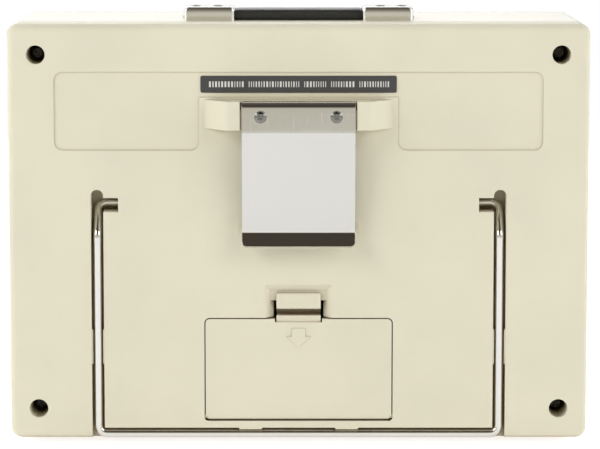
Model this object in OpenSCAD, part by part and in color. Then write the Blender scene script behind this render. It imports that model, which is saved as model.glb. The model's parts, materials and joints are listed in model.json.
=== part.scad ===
// Miniature battery amplifier with a tilt-back wire bail, belt clip, battery
// door, strap handle and stereo loudspeakers. +Z up, the front faces -Y and
// the rear faces +Y. The origin is the centre of the bounding box's floor.

/* [Body] */
// Width of the body [mm]
body_w = 162; // [120:240]
// Height of the body without its feet [mm]
body_h = 116.5; // [100:160]
// Depth of the body from rear face to front face [mm]
body_d = 67; // [60:100]
// Corner radius seen from the rear [mm]
corner_r = 3; // [3:8]
// Radius of the edge between the rear face and the sides [mm]
edge_r = 2; // [1:3]
// Wall thickness [mm]
wall = 2.5; // [2:4]
// Depth of the rear cover [mm]
cover_d = 14; // [13:18]
// Depth of the front frame [mm]
front_d = 6; // [5:8]
// Width of the hairline between the housings [mm]
seam = 0.15; // [0.05:0.3]
// Height of the rubber feet [mm]
feet_h = 1.5; // [1:3]
// Radius of a rubber foot [mm]
foot_r = 5; // [3:7]

/* [Case screws] */
// Distance of the screw holes from the sides [mm]
screw_in_x = 8; // [7:12]
// Distance of the screw holes from top and bottom [mm]
screw_in_z = 8.5; // [7.5:12]
// Radius of the deep holes [mm]
well_r = 2.6; // [2:4]
// Radius of the screw shank [mm]
case_shank_r = 1.25; // [1:2]
// Clearance round a screw shank, radial [mm]
screw_clear = 0.1; // [0.05:0.3]

/* [Arch recess and label] */
// Half width of the arch recess [mm]
arch_x = 68; // [60:76]
// Half width between its legs [mm]
arch_in_x = 27.7; // [24:34]
// Distance of the arch's top from the body's top [mm]
arch_top = 13.3; // [12:20]
// Height of the arch's cross band [mm]
arch_band = 7; // [6:10]
// Length of the arch's legs below the band [mm]
arch_leg = 14.8; // [8:20]
// Depth of the arch recess [mm]
arch_deep = 0.35; // [0.2:0.6]
// Width of the label [mm]
label_w = 54.5; // [30:54.8]
// Height of the label [mm]
label_h = 4.7; // [3:6]
// Thickness of the label [mm]
label_t = 0.2; // [0.1:0.3]

/* [Bail] */
// Diameter of the wire [mm]
wire_d = 2.4; // [2:3]
// Distance between the centres of the legs [mm]
bail_w = 112.5; // [90:124]
// Height of the pivot above the body's bottom [mm]
pivot_z = 66; // [50:72]
// Depth of the pivot behind the rear face [mm]
pivot_t = 7; // [6:8]
// Depth of the legs' centre when folded [mm]
leg_t = 1.35; // [1.2:2]
// Height where the legs leave the pivot's well [mm]
kink_z = 57.6; // [40:60]
// Bend radius of the wire, to its centre [mm]
bend_r = 2.4; // [2:4]
// Length of wire inside each bearing [mm]
bail_pin = 5.2; // [3:6]
// Running clearance in the bearing, radial [mm]
bail_clear = 0.06; // [0.02:0.1]
// Opening angle of the bail [deg]
bail_open = 60; // [30:60]

/* [Belt clip] */
// Width of the clip [mm]
clip_w = 31.4; // [24:36]
// Thickness of the clip's sheet [mm]
clip_t = 1; // [0.8:1.2]
// Height of the clip's top edge above the body's bottom [mm]
clip_top = 95.5; // [90:97]
// Height of the bend below the mounting strip [mm]
clip_bend = 86.8; // [80:88]
// Height of the crease above the lip [mm]
clip_crease = 58.6; // [56:66]
// Height of the clip's lower edge [mm]
clip_low = 54.9; // [50:56]
// How far the mounting strip stands off the rear face, to its outer side [mm]
clip_proud = 7.2; // [6:9]
// Gap between the tongue and the rear face at the crease [mm]
clip_gap = 2.6; // [1.5:4]
// Half width of the clip's boss [mm]
boss_x = 26.3; // [24:27.2]
// Height of the boss's lower edge [mm]
boss_low = 87.5; // [80:90]
// Height of the boss [mm]
boss_h = 8; // [7:10]
// Half distance between the clip's screws [mm]
clip_screw_x = 10.5; // [6:13]

/* [Battery compartment] */
// Width of the battery door [mm]
door_w = 52.2; // [52:56]
// Height of the battery door [mm]
door_h = 28.7; // [28.4:32]
// Height of the door's lower edge [mm]
door_z = 5.2; // [4.8:8]
// Thickness of the battery door [mm]
door_t = 2.2; // [1.8:2.4]
// Gap round the door [mm]
door_gap = 0.3; // [0.2:0.5]
// Radius of the door's hinge pins [mm]
door_pin_r = 0.8; // [0.6:1]
// Running clearance of the door's hinge pins, radial [mm]
door_pin_clear = 0.06; // [0.02:0.1]
// Opening angle of the door [deg]
door_open = 70; // [30:75]
// Width of the latch's finger tab [mm]
latch_w = 12.4; // [8:16]
// Length of a block battery [mm]
batt_l = 46.4; // [46:48]
// Width of a block battery [mm]
batt_w = 26.2; // [25:26.5]
// Thickness of a block battery [mm]
batt_h = 17; // [15.5:17.5]

/* [Handle] */
// Length over both end caps [mm]
handle_l = 65; // [50:120]
// Length of one end cap [mm]
cap_l = 14.5; // [12:20]
// Width of an end cap [mm]
cap_w = 16; // [14:20]
// Height of an end cap [mm]
cap_h = 3.8; // [3.5:5]
// Width of the strap [mm]
strap_w = 12; // [8:13]
// Thickness of the strap [mm]
strap_t = 3; // [1.5:3.1]
// Distance of the handle's middle from the rear face [mm]
handle_t = 26; // [20:40]

/* [Front] */
// Height of the grille opening's lower edge [mm]
grille_low = 8; // [6:12]
// Height of the grille opening's upper edge [mm]
grille_top = 86; // [70:87]
// Half width of the front openings [mm]
front_x = 74; // [60:75]
// Height of the control panel's lower edge [mm]
panel_low = 89.5; // [88:92]
// Height of the control panel's upper edge [mm]
panel_top = 111.5; // [105:112]
// Nominal loudspeaker diameter [mm]
speaker_d = 50; // [45:57]
// Half distance between the loudspeakers [mm]
speaker_x = 37.5; // [30:44]
// Height of the loudspeakers' centres [mm]
speaker_z = 46; // [36:52]
// Diameter of a knob [mm]
knob_d = 13; // [10:15]
// Height of a knob in front of the front face [mm]
knob_proud = 8.5; // [6:14]
// Radius of a control's shaft [mm]
shaft_r = 3; // [2:3.2]
// Running clearance of a control's shaft, radial [mm]
shaft_clear = 0.05; // [0.02:0.1]
// Turn of a knob either way from its middle [deg]
knob_turn = 150; // [90:150]

/* [Jacks] */
// Radius of the instrument jack's bore [mm]
jack_r = 3.25; // [3.2:3.3]
// Depth of the instrument jack's bore [mm]
jack_len = 28; // [26:32]
// Radius of the headphone jack's bore [mm]
phone_r = 1.8; // [1.78:1.85]
// Depth of the headphone jack's bore [mm]
phone_len = 14; // [13:15]

/* [Hidden] */
$fn = 64;
eps = 0.01;

// the deepest thing behind the rear face is the boss's clip strip
clip_out = clip_proud + 1.0;
yb = (body_d + knob_proud - clip_out) / 2;  // y of the rear face
z0 = feet_h;                                // z of the body's bottom
zt = z0 + body_h;                           // z of the body's top
bw = body_w / 2;
sx = bw - screw_in_x;                       // case screws
sz = [screw_in_z, body_h - screw_in_z];
shell_t0 = cover_d;
shell_t1 = body_d - front_d;

wire_r = wire_d / 2;
leg_x = bail_w / 2;
bear_x = leg_x - 5.9;                       // face of the bail's bearings
chan_w = wire_d + 1.05;                     // width of the legs' channel
rebate_top = wire_d + 1.7;                  // body round the foot bar
chan_t = leg_t + wire_r + 0.35;             // depth of the legs' channel

hinge_z = clip_bend;                        // flexing bend of the clip
hinge_t = -clip_proud + clip_t / 2;
crease_t = -clip_gap - clip_t / 2;
clip_lip_t = crease_t - 2.6;
top_r = 2;                                  // turned-over top edge

door_r = door_t / 2;                        // round lower edge of the door
door_ax_t = door_r;                         // axis of the door's hinge
door_ax_z = door_z + door_r;
door_top = door_z + door_h;
lat_z = door_top + 1.75;                    // axis of the latch's bend
lat_t = 5.2;
lat_ri = 0.85;                              // inside radius of that bend
lat_ro = 2.0;
tab_top = door_top + 7.2;
dish_top = door_top + 9.7;
hole_top = door_top + 5.1;                  // edge that the latch hooks
tray_t = wall + 0.05;
tray_in_t = 22;                             // depth of the compartment's floor
tray_x = door_w / 2 + 0.1;
ear_z = door_z + 5.8;                       // screw ears of the tray

arch_t = body_h - arch_top;

baf_t0 = shell_t1 - 2.6;                    // rear of the baffle
baf_t1 = shell_t1 - 0.1;
pan_t0 = body_d - 3.5;                      // rear and front of the panel
pan_t1 = body_d - 1.5;
pan_z = (panel_low + panel_top) / 2;
board_t = pan_t0 - 15.5;                    // front of the circuit board
knob_x = [-27, 0, 27];
jack_x = -58;
phone_x = 50;
led_x = 63;

// --- helpers ------------------------------------------------------------

// a 2D child in (x, height) is made solid from depth t0 to depth t1
module slab(t0, t1) {
    translate([0, yb - t0, z0]) rotate([90, 0, 0])
        linear_extrude(t1 - t0) children();
}

// a turned child, its axis along the depth, at x and height z, from depth t
module turned(x, z, t) {
    translate([x, yb - t, z0 + z]) rotate([90, 0, 0]) children();
}

// a 2D child in (y outward, height), drawn from the rear face, made solid
// between two x
module rib(x0, x1) {
    translate([x0, yb, z0]) rotate([90, 0, 90])
        linear_extrude(x1 - x0) children();
}

module rr(xa, za, xb, zb, r) {
    translate([xa + r, za]) square([xb - xa - 2 * r, zb - za]);
    translate([xa, za + r]) square([xb - xa, zb - za - 2 * r]);
    for (x = [xa + r, xb - r], z = [za + r, zb - r])
        translate([x, z]) circle(r);
}

module box(xa, za, xb, zb) translate([xa, za]) square([xb - xa, zb - za]);

module edge_profile(rc, rf, d) {
    square([rc - rf, d]);
    translate([0, rf]) square([rc, d - rf]);
    intersection() {
        translate([rc - rf, rf]) circle(rf);
        square([rc, rf + 0.001]);
    }
}

// a plate w by h by d with corner radius rc, its face at z = 0 rounded by rf
module pillow(w, h, d, rc, rf) {
    translate([rc, rc, 0]) cube([w - 2 * rc, h - 2 * rc, d]);
    translate([rc, rc, 0]) rotate([90, 0, 90]) mirror([1, 0])
        linear_extrude(w - 2 * rc) edge_profile(rc, rf, d);
    translate([rc, h - rc, 0]) rotate([90, 0, 90])
        linear_extrude(w - 2 * rc) edge_profile(rc, rf, d);
    translate([rc, h - rc, 0]) rotate([90, 0, 0]) mirror([1, 0])
        linear_extrude(h - 2 * rc) edge_profile(rc, rf, d);
    translate([w - rc, rc, 0]) rotate([90, 0, 180]) mirror([1, 0])
        linear_extrude(h - 2 * rc) edge_profile(rc, rf, d);
    for (c = [[w - rc, h - rc, 0], [rc, h - rc, 90], [rc, rc, 180],
            [w - rc, rc, 270]])
        translate([c[0], c[1], 0]) rotate(c[2])
            rotate_extrude(angle = 90) edge_profile(rc, rf, d);
}

function unit(v) = v / norm(v);

// one straight run of a sweep, from a to b, its profile's x along n
module run(a, b, n) {
    w = unit(b - a);
    y = cross(w, n);
    multmatrix([[n[0], y[0], w[0], a[0]], [n[1], y[1], w[1], a[1]],
            [n[2], y[2], w[2], a[2]], [0, 0, 0, 1]])
        linear_extrude(norm(b - a)) children();
}

// the direction in which the path turns at point i
function turn(p, i) = let (u = unit(p[i] - p[i - 1]),
    v = unit(p[i + 1] - p[i])) unit(v - (v * u) * u);
function trim(p, i, r) = (i == 0 || i == len(p) - 1) ? 0
    : let (u = unit(p[i] - p[i - 1]), v = unit(p[i + 1] - p[i]))
      r * tan(acos(max(-1, min(1, u * v))) / 2);

// a 2D child swept along points with round bends of radius r; the profile
// is scaled by k in the bends
module sweep(p, r, k = 1) {
    for (i = [1 : len(p) - 1]) {
        u = unit(p[i] - p[i - 1]);
        j = len(p) == 2 ? -1 : (i < len(p) - 1 ? i : i - 1);
        n = j < 0 ? unit(cross(u, [0.3, 0.2, 0.9])) : turn(p, j);
        m = j == i || j < 0 ? n : unit(n - (n * u) * u);
        run(p[i - 1] + u * trim(p, i - 1, r), p[i] - u * trim(p, i, r), m)
            children();
    }
    if (len(p) > 2) for (i = [1 : len(p) - 2]) {
        u = unit(p[i] - p[i - 1]);
        v = unit(p[i + 1] - p[i]);
        n = turn(p, i);
        c = p[i] - u * trim(p, i, r) + n * r;
        z = cross(-n, u);
        multmatrix([[-n[0], u[0], z[0], c[0]], [-n[1], u[1], z[1], c[1]],
                [-n[2], u[2], z[2], c[2]], [0, 0, 0, 1]])
            rotate_extrude(angle = acos(max(-1, min(1, u * v))))
                translate([r, 0]) scale(k) children();
    }
}

// a round wire of radius w along points; its bends are a hair thicker, so
// that the runs end on flat faces
module wire(p, r, w) {
    for (i = [1 : len(p) - 1]) {
        u = unit(p[i] - p[i - 1]);
        run(p[i - 1] + u * trim(p, i - 1, r), p[i] - u * trim(p, i, r),
            unit(cross(u, [0.31, 0.22, 0.92]))) circle(w);
    }
    for (i = [1 : len(p) - 2]) {
        u = unit(p[i] - p[i - 1]);
        v = unit(p[i + 1] - p[i]);
        n = turn(p, i);
        c = p[i] - u * trim(p, i, r) + n * r;
        z = cross(-n, u);
        multmatrix([[-n[0], u[0], z[0], c[0]], [-n[1], u[1], z[1], c[1]],
                [-n[2], u[2], z[2], c[2]], [0, 0, 0, 1]])
            rotate_extrude(angle = acos(max(-1, min(1, u * v))))
                translate([r, 0]) circle(w + 0.012);
    }
}

// a point given as x, depth and height
function at(x, t, z) = [x, yb - t, z0 + z];

// a screw along the depth: round head with a cross recess, head towards t
module pan_screw(x, z, t, head_r, head_h, shank_r, len) {
    turned(x, z, t) difference() {
        union() {
            rotate_extrude() polygon([[0, 0], [head_r * 0.55, 0],
                [head_r * 0.86, head_h * 0.22], [head_r, head_h * 0.6],
                [head_r, head_h], [0, head_h]]);
            translate([0, 0, head_h - eps]) cylinder(r = shank_r, h = len);
        }
        for (a = [0, 90]) rotate(a + 45)
            translate([-head_r * 0.55, -head_r * 0.12, -1])
                cube([head_r * 1.1, head_r * 0.24, 1 + head_h * 0.62]);
    }
}

// --- housing ------------------------------------------------------------

module cabinet_shell() color([0.88, 0.85, 0.74]) {
    difference() {
        union() {
            difference() {
                slab(shell_t0 + seam, shell_t1 - seam)
                    rr(-bw, 0, bw, body_h, corner_r);
                slab(shell_t0 - 1, shell_t1 + 1)
                    rr(-bw + wall, wall, bw - wall, body_h - wall,
                        corner_r - wall + 0.5);
            }
            // screw posts with webs to the walls
            for (x = [-sx, sx], z = sz) {
                slab(shell_t0 - 1.2, shell_t1 - 4) translate([x, z])
                    circle(3.9);
                slab(shell_t0 + 1, shell_t1 - 4) {
                    box(min(x, sign(x) * (bw - 1)), z - 1,
                        max(x, sign(x) * (bw - 1)), z + 1);
                    box(x - 1, z < body_h / 2 ? 1 : z, x + 1,
                        z < body_h / 2 ? z : body_h - 1);
                }
            }
            // posts under the handle's screws
            for (x = handle_xs())
                translate([x, yb - handle_t, zt - wall - 4.5])
                    cylinder(r = 2.6, h = 4.5 + wall / 2);
            // ledge that locates the baffle
            slab(baf_t0 - 3, baf_t0 - 0.1) difference() {
                box(-bw + 1, 1, bw - 1, grille_top + 2);
                box(-bw + wall + 1.6, wall + 1.6, bw - wall - 1.6,
                    grille_top + 3);
            }
        }
        for (x = [-sx, sx], z = sz)
            slab(shell_t0 - 3, shell_t0 + 16) translate([x, z])
                circle(case_shank_r + screw_clear);
        for (x = handle_xs())
            translate([x, yb - handle_t, zt - wall - 3.8])
                cylinder(r = 1 + screw_clear, h = 10);
        // cups for the feet
        foot_places() translate([0, 0, -0.6]) cylinder(r = foot_r + 0.1,
            h = 1.2);
        // the case keeps clear of the input jack's nut side
        slab(baf_t0 - 4, baf_t1 + 1) box(jack_x - 8, panel_low - 4, jack_x
            + 8, panel_low + 1);
    }
}

function handle_xs() = [-handle_l / 2 + 3.2, -handle_l / 2 + 9.4,
    handle_l / 2 - 9.4, handle_l / 2 - 3.2];

module foot_places() {
    for (x = [-1, 1], t = [cover_d + 8, body_d - front_d - 8])
        translate([x * (bw - 13), yb - t, z0]) children();
}

module rear_cover() color([0.9, 0.87, 0.77]) {
    inner_r = corner_r - wall + 0.5;
    difference() {
        union() {
            difference() {
                translate([-bw, yb, z0]) rotate([90, 0, 0])
                    pillow(body_w, body_h, cover_d, corner_r, edge_r);
                slab(wall, cover_d + 1)
                    rr(-bw + wall, wall, bw - wall, body_h - wall, inner_r);
            }
            // deep screw wells
            for (x = [-sx, sx], z = sz)
                slab(wall - eps, cover_d - 1.4) {
                    translate([x, z]) circle(well_r + 1.5);
                    box(min(x, sign(x) * (bw - 1)), z - 1,
                        max(x, sign(x) * (bw - 1)), z + 1);
                    box(x - 1, z < body_h / 2 ? 1 : z, x + 1,
                        z < body_h / 2 ? z : body_h - 1);
                }
            // bodies of the bail's channels and bearings
            for (s = [-1, 1]) mirror([s < 0 ? 1 : 0, 0, 0]) {
                slab(wall - eps, chan_t + 1.4)
                    box(leg_x - 4.2, 1, leg_x + 4.2, pivot_z);
                slab(wall - eps, pivot_t + wire_r + 1.9)
                    box(bear_x - bail_pin - 1.6, pivot_z - 12,
                        leg_x + 4.2, pivot_z + 6);
            }
            slab(wall - eps, chan_t + 1.4)
                box(-leg_x - 4.2, 1, leg_x + 4.2, rebate_top);
            // boss of the belt clip
            clip_boss();
            // low rib under the clip's lip
            rib(-16.5, 16.5) polygon([[-0.5, 57.2], [0, 57.2],
                [1.1, 58.4], [1.1, 59.6], [0, 62.6], [-0.5, 62.6]]);
            // posts of the battery tray
            for (x = [-1, 1])
                slab(wall - eps, 12) translate([x * (tray_x + 6), ear_z])
                    circle(3);
        }
        // wells and shank holes
        for (x = [-sx, sx], z = sz) {
            slab(-1, cover_d - 3.4) translate([x, z]) circle(well_r);
            slab(0, cover_d + 1) translate([x, z])
                circle(case_shank_r + 0.25);
        }
        // arch recess
        slab(-1, arch_deep) {
            rr(-arch_x, arch_t - arch_band, arch_x, arch_t, 2.4);
            for (s = [-1, 1]) {
                rr(min(s * arch_x, s * arch_in_x),
                    arch_t - arch_band - arch_leg,
                    max(s * arch_x, s * arch_in_x), arch_t, 2.4);
            }
        }
        // channels of the bail
        for (s = [-1, 1]) mirror([s < 0 ? 1 : 0, 0, 0]) {
            slab(-1, chan_t)
                box(leg_x - chan_w / 2, -1, leg_x + chan_w / 2,
                    pivot_z);
            // deep well in front of the bearing
            slab(-1, pivot_t + wire_r + 0.4)
                {
                    box(bear_x, pivot_z - 1.9, leg_x + chan_w / 2,
                        pivot_z + 2);
                    box(leg_x - chan_w / 2, pivot_z, leg_x + chan_w / 2,
                        pivot_z + 4.3 - chan_w / 2);
                    translate([leg_x, pivot_z + 4.3 - chan_w / 2])
                        circle(chan_w / 2);
                }
            rib(leg_x - chan_w / 2, leg_x + chan_w / 2)
                polygon([[-pivot_t - wire_r - 0.4, pivot_z + 2],
                    [-pivot_t - wire_r - 0.4, pivot_z - 4.2],
                    [-chan_t + 0.2, kink_z - 3.6], [1, kink_z - 3.6],
                    [1, pivot_z + 2]]);
            // bearing
            translate(at(bear_x - bail_pin - 0.4, pivot_t, pivot_z))
                rotate([0, 90, 0])
                    cylinder(r = wire_r + bail_clear, h = bail_pin + 1.4);
        }
        // rebate of the bail's foot bar
        slab(-1, chan_t) difference() {
            box(-leg_x - chan_w / 2, -1, leg_x + chan_w / 2, wire_d + 0.55);
            for (x = [-16.7, 10.3]) box(x, wire_d + 0.1, x + 6.4, wire_d + 1);
        }
        // pads on the channels' walls
        // door opening
        slab(-1, wall + 1) {
            rr(-door_w / 2 - door_gap, door_z + 3,
                door_w / 2 + door_gap, door_top + door_gap, 1.5);
            rr(-door_w / 2 - door_gap, door_z - door_gap,
                door_w / 2 + door_gap, door_top - 3, 1);
        }
        // sockets of the door's hinge pins
        for (s = [-1, 1]) mirror([s < 0 ? 1 : 0, 0, 0])
            translate(at(door_w / 2 - 0.5, door_ax_t, door_ax_z))
                rotate([0, 90, 0])
                    cylinder(r = door_pin_r + door_pin_clear, h = 2.6);
        // dish round the latch
        intersection() {
            rib(-10, 10) polygon([[1, dish_top + 1],
                [0, dish_top], [-1.5, tab_top + 0.6], [-1.5, hole_top],
                [-wall - 0.2, hole_top], [-wall - 0.2, door_top - 1],
                [1, door_top - 1]]);
            translate([0, 0, z0 + door_top - 1]) linear_extrude(12)
                polygon([[-9.9, yb + 0.5], [-9.3, yb],
                    [-latch_w / 2 - 0.55, yb - wall - 0.2],
                    [latch_w / 2 + 0.55, yb - wall - 0.2], [9.3, yb],
                    [9.9, yb + 0.5]]);
        }
        // pilot holes of the clip's screws
        for (x = [-clip_screw_x, clip_screw_x])
            slab(-clip_proud - 1, 1.2)
                translate([x, clip_top - 4.2]) circle(0.9 + screw_clear);
        for (x = [-1, 1])
            slab(6, 13) translate([x * (tray_x + 6), ear_z])
                circle(1 + screw_clear);
    }
    // detent pads beside the folded legs
    for (s = [-1, 1]) mirror([s < 0 ? 1 : 0, 0, 0])
        for (k = [-1, 1])
            slab(0.3, chan_t) {
                x = leg_x + k * (chan_w / 2 - 0.33 / 2 + 0.05);
                box(x - 0.22, 21.1, x + 0.22, 30.9);
            }
}

module clip_boss() {
    x0 = clip_w / 2 + 0.5;
    difference() {
        translate([0, 0, z0 + boss_low]) linear_extrude(boss_h)
            polygon(concat(
                [[-boss_x, yb - 1], [-boss_x, yb]],
                [for (i = [1 : 18]) let (u = i / 18) [-boss_x + 7.2 * u,
                    yb + (clip_proud - 0.4) * (1 - cos(180 * u)) / 2]],
                [for (i = [18 : -1 : 1]) let (u = i / 18) [boss_x - 7.2 * u,
                    yb + (clip_proud - 0.4) * (1 - cos(180 * u)) / 2]],
                [[boss_x, yb], [boss_x, yb - 1]]));
        // pocket between the wings, floor behind the clip's strip
        slab(-clip_proud - 1, -clip_proud + clip_t)
            box(-x0, boss_low - 1, x0, boss_low + boss_h + 1);
        slab(-clip_proud - 1, -clip_proud + top_r + 0.2)
            box(-x0, clip_top - top_r - 0.3, x0, boss_low + boss_h + 1);
    }
}

module front_frame() color([0.88, 0.85, 0.74]) {
    difference() {
        union() {
            translate([bw, yb - body_d, z0]) rotate([90, 0, 180])
                pillow(body_w, body_h, front_d - seam, corner_r, edge_r);
            // spigot that enters the shell
            slab(shell_t1 - 2, shell_t1 + 1) difference() {
                rr(-bw + wall + 0.2, wall + 0.2, bw - wall - 0.2,
                    body_h - wall - 0.2, 1.8);
                box(-bw + wall + 1.7, wall + 1.7, bw - wall - 1.7,
                    body_h - wall - 1.7);
                box(-bw, 0, bw, grille_top + 3);
            }
        }
        slab(shell_t1 - 3, body_d + 1)
            rr(-front_x, grille_low, front_x, grille_top, 4);
        slab(shell_t1 - 3, body_d + 1)
            rr(-front_x, panel_low, front_x, panel_top, 2.5);
        // seat for the grille frame
        slab(shell_t1 - 3, body_d - 2.6)
            rr(-front_x - 1.8, grille_low - 1.8, front_x + 1.8,
                grille_top + 1.2, 3);
    }
    // lip behind the control panel
    difference() {
        slab(pan_t0 - 1.6, pan_t0 - 0.05) difference() {
            box(-front_x - 1, panel_low - 1, front_x + 1, panel_top + 1);
            rr(-front_x + 1.6, panel_low + 1.6, front_x - 1.6,
                panel_top - 1.6, 1.5);
        }
        slab(shell_t1 - 3, body_d - 2.6)
            rr(-front_x - 1.8, grille_low - 1.8, front_x + 1.8,
                grille_top + 1.2, 3);
    }
}

module rubber_feet() color([0.12, 0.12, 0.12])
    foot_places() translate([0, 0, -feet_h]) rotate_extrude()
        polygon([[0, 0], [foot_r - 0.9, 0], [foot_r - 0.5, 0.25],
            [foot_r, feet_h], [foot_r, feet_h + 0.55], [0, feet_h + 0.55]]);

module case_screws() color([0.3, 0.3, 0.32])
    for (x = [-sx, sx], z = sz)
        pan_screw(x, z, cover_d - 5.2, 2.3, 1.8, case_shank_r, 14);

module rating_label() color([0.2, 0.2, 0.2])
    slab(arch_deep - label_t, arch_deep)
        rr(-label_w / 2, arch_t - arch_band / 2 - label_h / 2 + 0.1,
            label_w / 2, arch_t - arch_band / 2 + label_h / 2 + 0.1, 0.5);

// --- bail ---------------------------------------------------------------

module bail() color([0.8, 0.8, 0.82]) {
    pts = [at(bear_x - bail_pin, pivot_t, pivot_z),
        at(leg_x, pivot_t, pivot_z), at(leg_x, leg_t, kink_z),
        at(leg_x, leg_t, wire_r), at(-leg_x, leg_t, wire_r),
        at(-leg_x, leg_t, kink_z), at(-leg_x, pivot_t, pivot_z),
        at(-bear_x + bail_pin, pivot_t, pivot_z)];
    wire(pts, bend_r, wire_r);
}

// --- belt clip ----------------------------------------------------------

module clip_outline() {
    rr(-clip_w / 2, clip_low, clip_w / 2, clip_top + 4, 1.4);
}

module belt_clip_strip() color([0.85, 0.85, 0.87])
    difference() {
        union() {
            slab(-clip_proud, -clip_proud + clip_t)
                box(-clip_w / 2, hinge_z + clip_t / 2 + 0.12, clip_w / 2,
                    clip_top - top_r);
            // turned-over top edge
            intersection() {
                translate([-clip_w / 2, yb + clip_proud - top_r,
                    z0 + clip_top - top_r]) rotate([0, 90, 0])
                    difference() {
                        cylinder(r = top_r, h = clip_w);
                        translate([0, 0, -1]) cylinder(r = top_r - clip_t,
                            h = clip_w + 2);
                    }
                slab(-clip_proud, -clip_proud + top_r)
                    box(-clip_w / 2, clip_top - top_r, clip_w / 2,
                        clip_top);
            }
        }
        for (x = [-clip_screw_x, clip_screw_x])
            slab(-clip_proud - 1, 0)
                translate([x, clip_top - 4.2]) circle(1.1);
    }

// section of the tongue: round at the flexing bend, then two limbs
function arc_of(c, r, from, to, n) = [for (i = [0 : n])
    let (w = from + (to - from) * i / n) c + r * [cos(w), sin(w)]];

module tongue_section() {
    h = clip_t / 2;
    a = [-hinge_t, hinge_z];
    b = [-crease_t, clip_crease];
    c = [-clip_lip_t, clip_low - 0.5];
    u = unit(b - a);
    v = unit(c - b);
    n = [-u[1], u[0]];
    m = [-v[1], v[0]];
    w = atan2(n[1], n[0]);
    polygon(concat(arc_of(a, h + 0.03, w, w + 180, 12),
        arc_of(b, h, w + 180, atan2(m[1], m[0]) + 180, 6),
        [c - h * m, c + h * m, b + h * (n + m) / (1 + n * m)]));
}

module belt_clip_tongue() color([0.85, 0.85, 0.87])
    difference() {
        rib(-clip_w / 2, clip_w / 2) tongue_section();
        // round lower corners
        slab(-clip_proud - 3, 0) difference() {
            box(-clip_w, clip_low - 5, clip_w, clip_low + 1.4);
            clip_outline();
        }
    }

module clip_screws() color([0.75, 0.75, 0.77])
    for (x = [-clip_screw_x, clip_screw_x])
        pan_screw(x, clip_top - 4.2, -clip_proud - 1.0 + 0.0, 1.7, 1.0, 0.9,
            7);

// --- battery compartment --------------------------------------------------

module battery_door() color([0.9, 0.87, 0.77]) {
    difference() {
        union() {
            slab(0, door_t) difference() {
                rr(-door_w / 2, door_z, door_w / 2, door_top, 1.2);
                box(-door_w, 0, door_w, door_ax_z);
            }
            translate(at(-door_w / 2 + 0.8, door_ax_t, door_ax_z))
                rotate([0, 90, 0]) cylinder(r = door_r, h = door_w - 1.6);
            for (s = [-1, 1]) mirror([s < 0 ? 1 : 0, 0, 0])
                translate(at(door_w / 2, door_ax_t, door_ax_z))
                    rotate([0, -90, 0]) {
                        cylinder(r1 = door_r - 0.5, r2 = door_r, h = 0.8);
                        translate([0, 0, -1.9])
                            cylinder(r = door_pin_r, h = 2.4);
                    }
            // raised arrow
            slab(-0.25, 0.2) {
                box(-1.9, door_top - 5, 1.9, door_top - 2.6);
                polygon([[-3.5, door_top - 4.9], [3.5, door_top - 4.9],
                    [0, door_top - 7.9]]);
            }
            // stiffening ribs inside
            for (x = [-14, 14]) slab(door_t - 0.1, door_t + 0.9)
                box(x - 0.6, door_z + 5, x + 0.6, door_top - 5);
        }
        // notch that the latch's spring passes
        slab(-1, door_t + 2) box(-latch_w / 2 - 0.4, door_top - 0.9,
            latch_w / 2 + 0.4, door_top + 1);
    }
    // first limb of the spring
    rib(-latch_w / 2, latch_w / 2) difference() {
        union() {
            polygon([[-0.6, door_top - 1.0], [-0.6, lat_z - lat_ri - 1.5],
                [-0.6, lat_z - lat_ri], [-lat_t, lat_z - lat_ri],
                [-lat_t, lat_z - lat_ro], [-door_t + 0.2, lat_z - lat_ro],
                [-door_t + 0.2, door_top - 1.0]]);
        }
        translate([-lat_t, lat_z]) circle(lat_ri);
    }
}

module door_latch() color([0.9, 0.87, 0.77]) {
    difference() {
        union() {
            // round bend, then the second limb and the finger tab
            rib(-latch_w / 2, latch_w / 2) difference() {
                union() {
                    intersection() {
                        translate([-lat_t, lat_z]) circle(lat_ro);
                        box(-lat_t - lat_ro - 1, lat_z - lat_ro - 1,
                            -lat_t - 0.06, lat_z + lat_ro + 1);
                    }
                    polygon([[-lat_t - 0.1, lat_z + lat_ro],
                        [-lat_t - 0.1, lat_z + lat_ri],
                        [-1, lat_z + lat_ri + 0.1],
                        [-0.4, lat_z + lat_ri + 0.4],
                        [-0.3, tab_top - 0.4], [-0.6, tab_top],
                        [-1.2, tab_top], [-1.2, hole_top - 0.6],
                        [-3, hole_top - 0.6], [-3, hole_top + 0.2],
                        [-3.6, hole_top + 0.2],
                        [-4.4, lat_z + lat_ro]]);
                }
                translate([-lat_t, lat_z]) circle(lat_ri);
            }
        }
        // slight finger hollow
        rib(-latch_w / 2 + 1.2, latch_w / 2 - 1.2)
            translate([5.85, tab_top - 2.2]) circle(6.3);
    }
}

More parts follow.
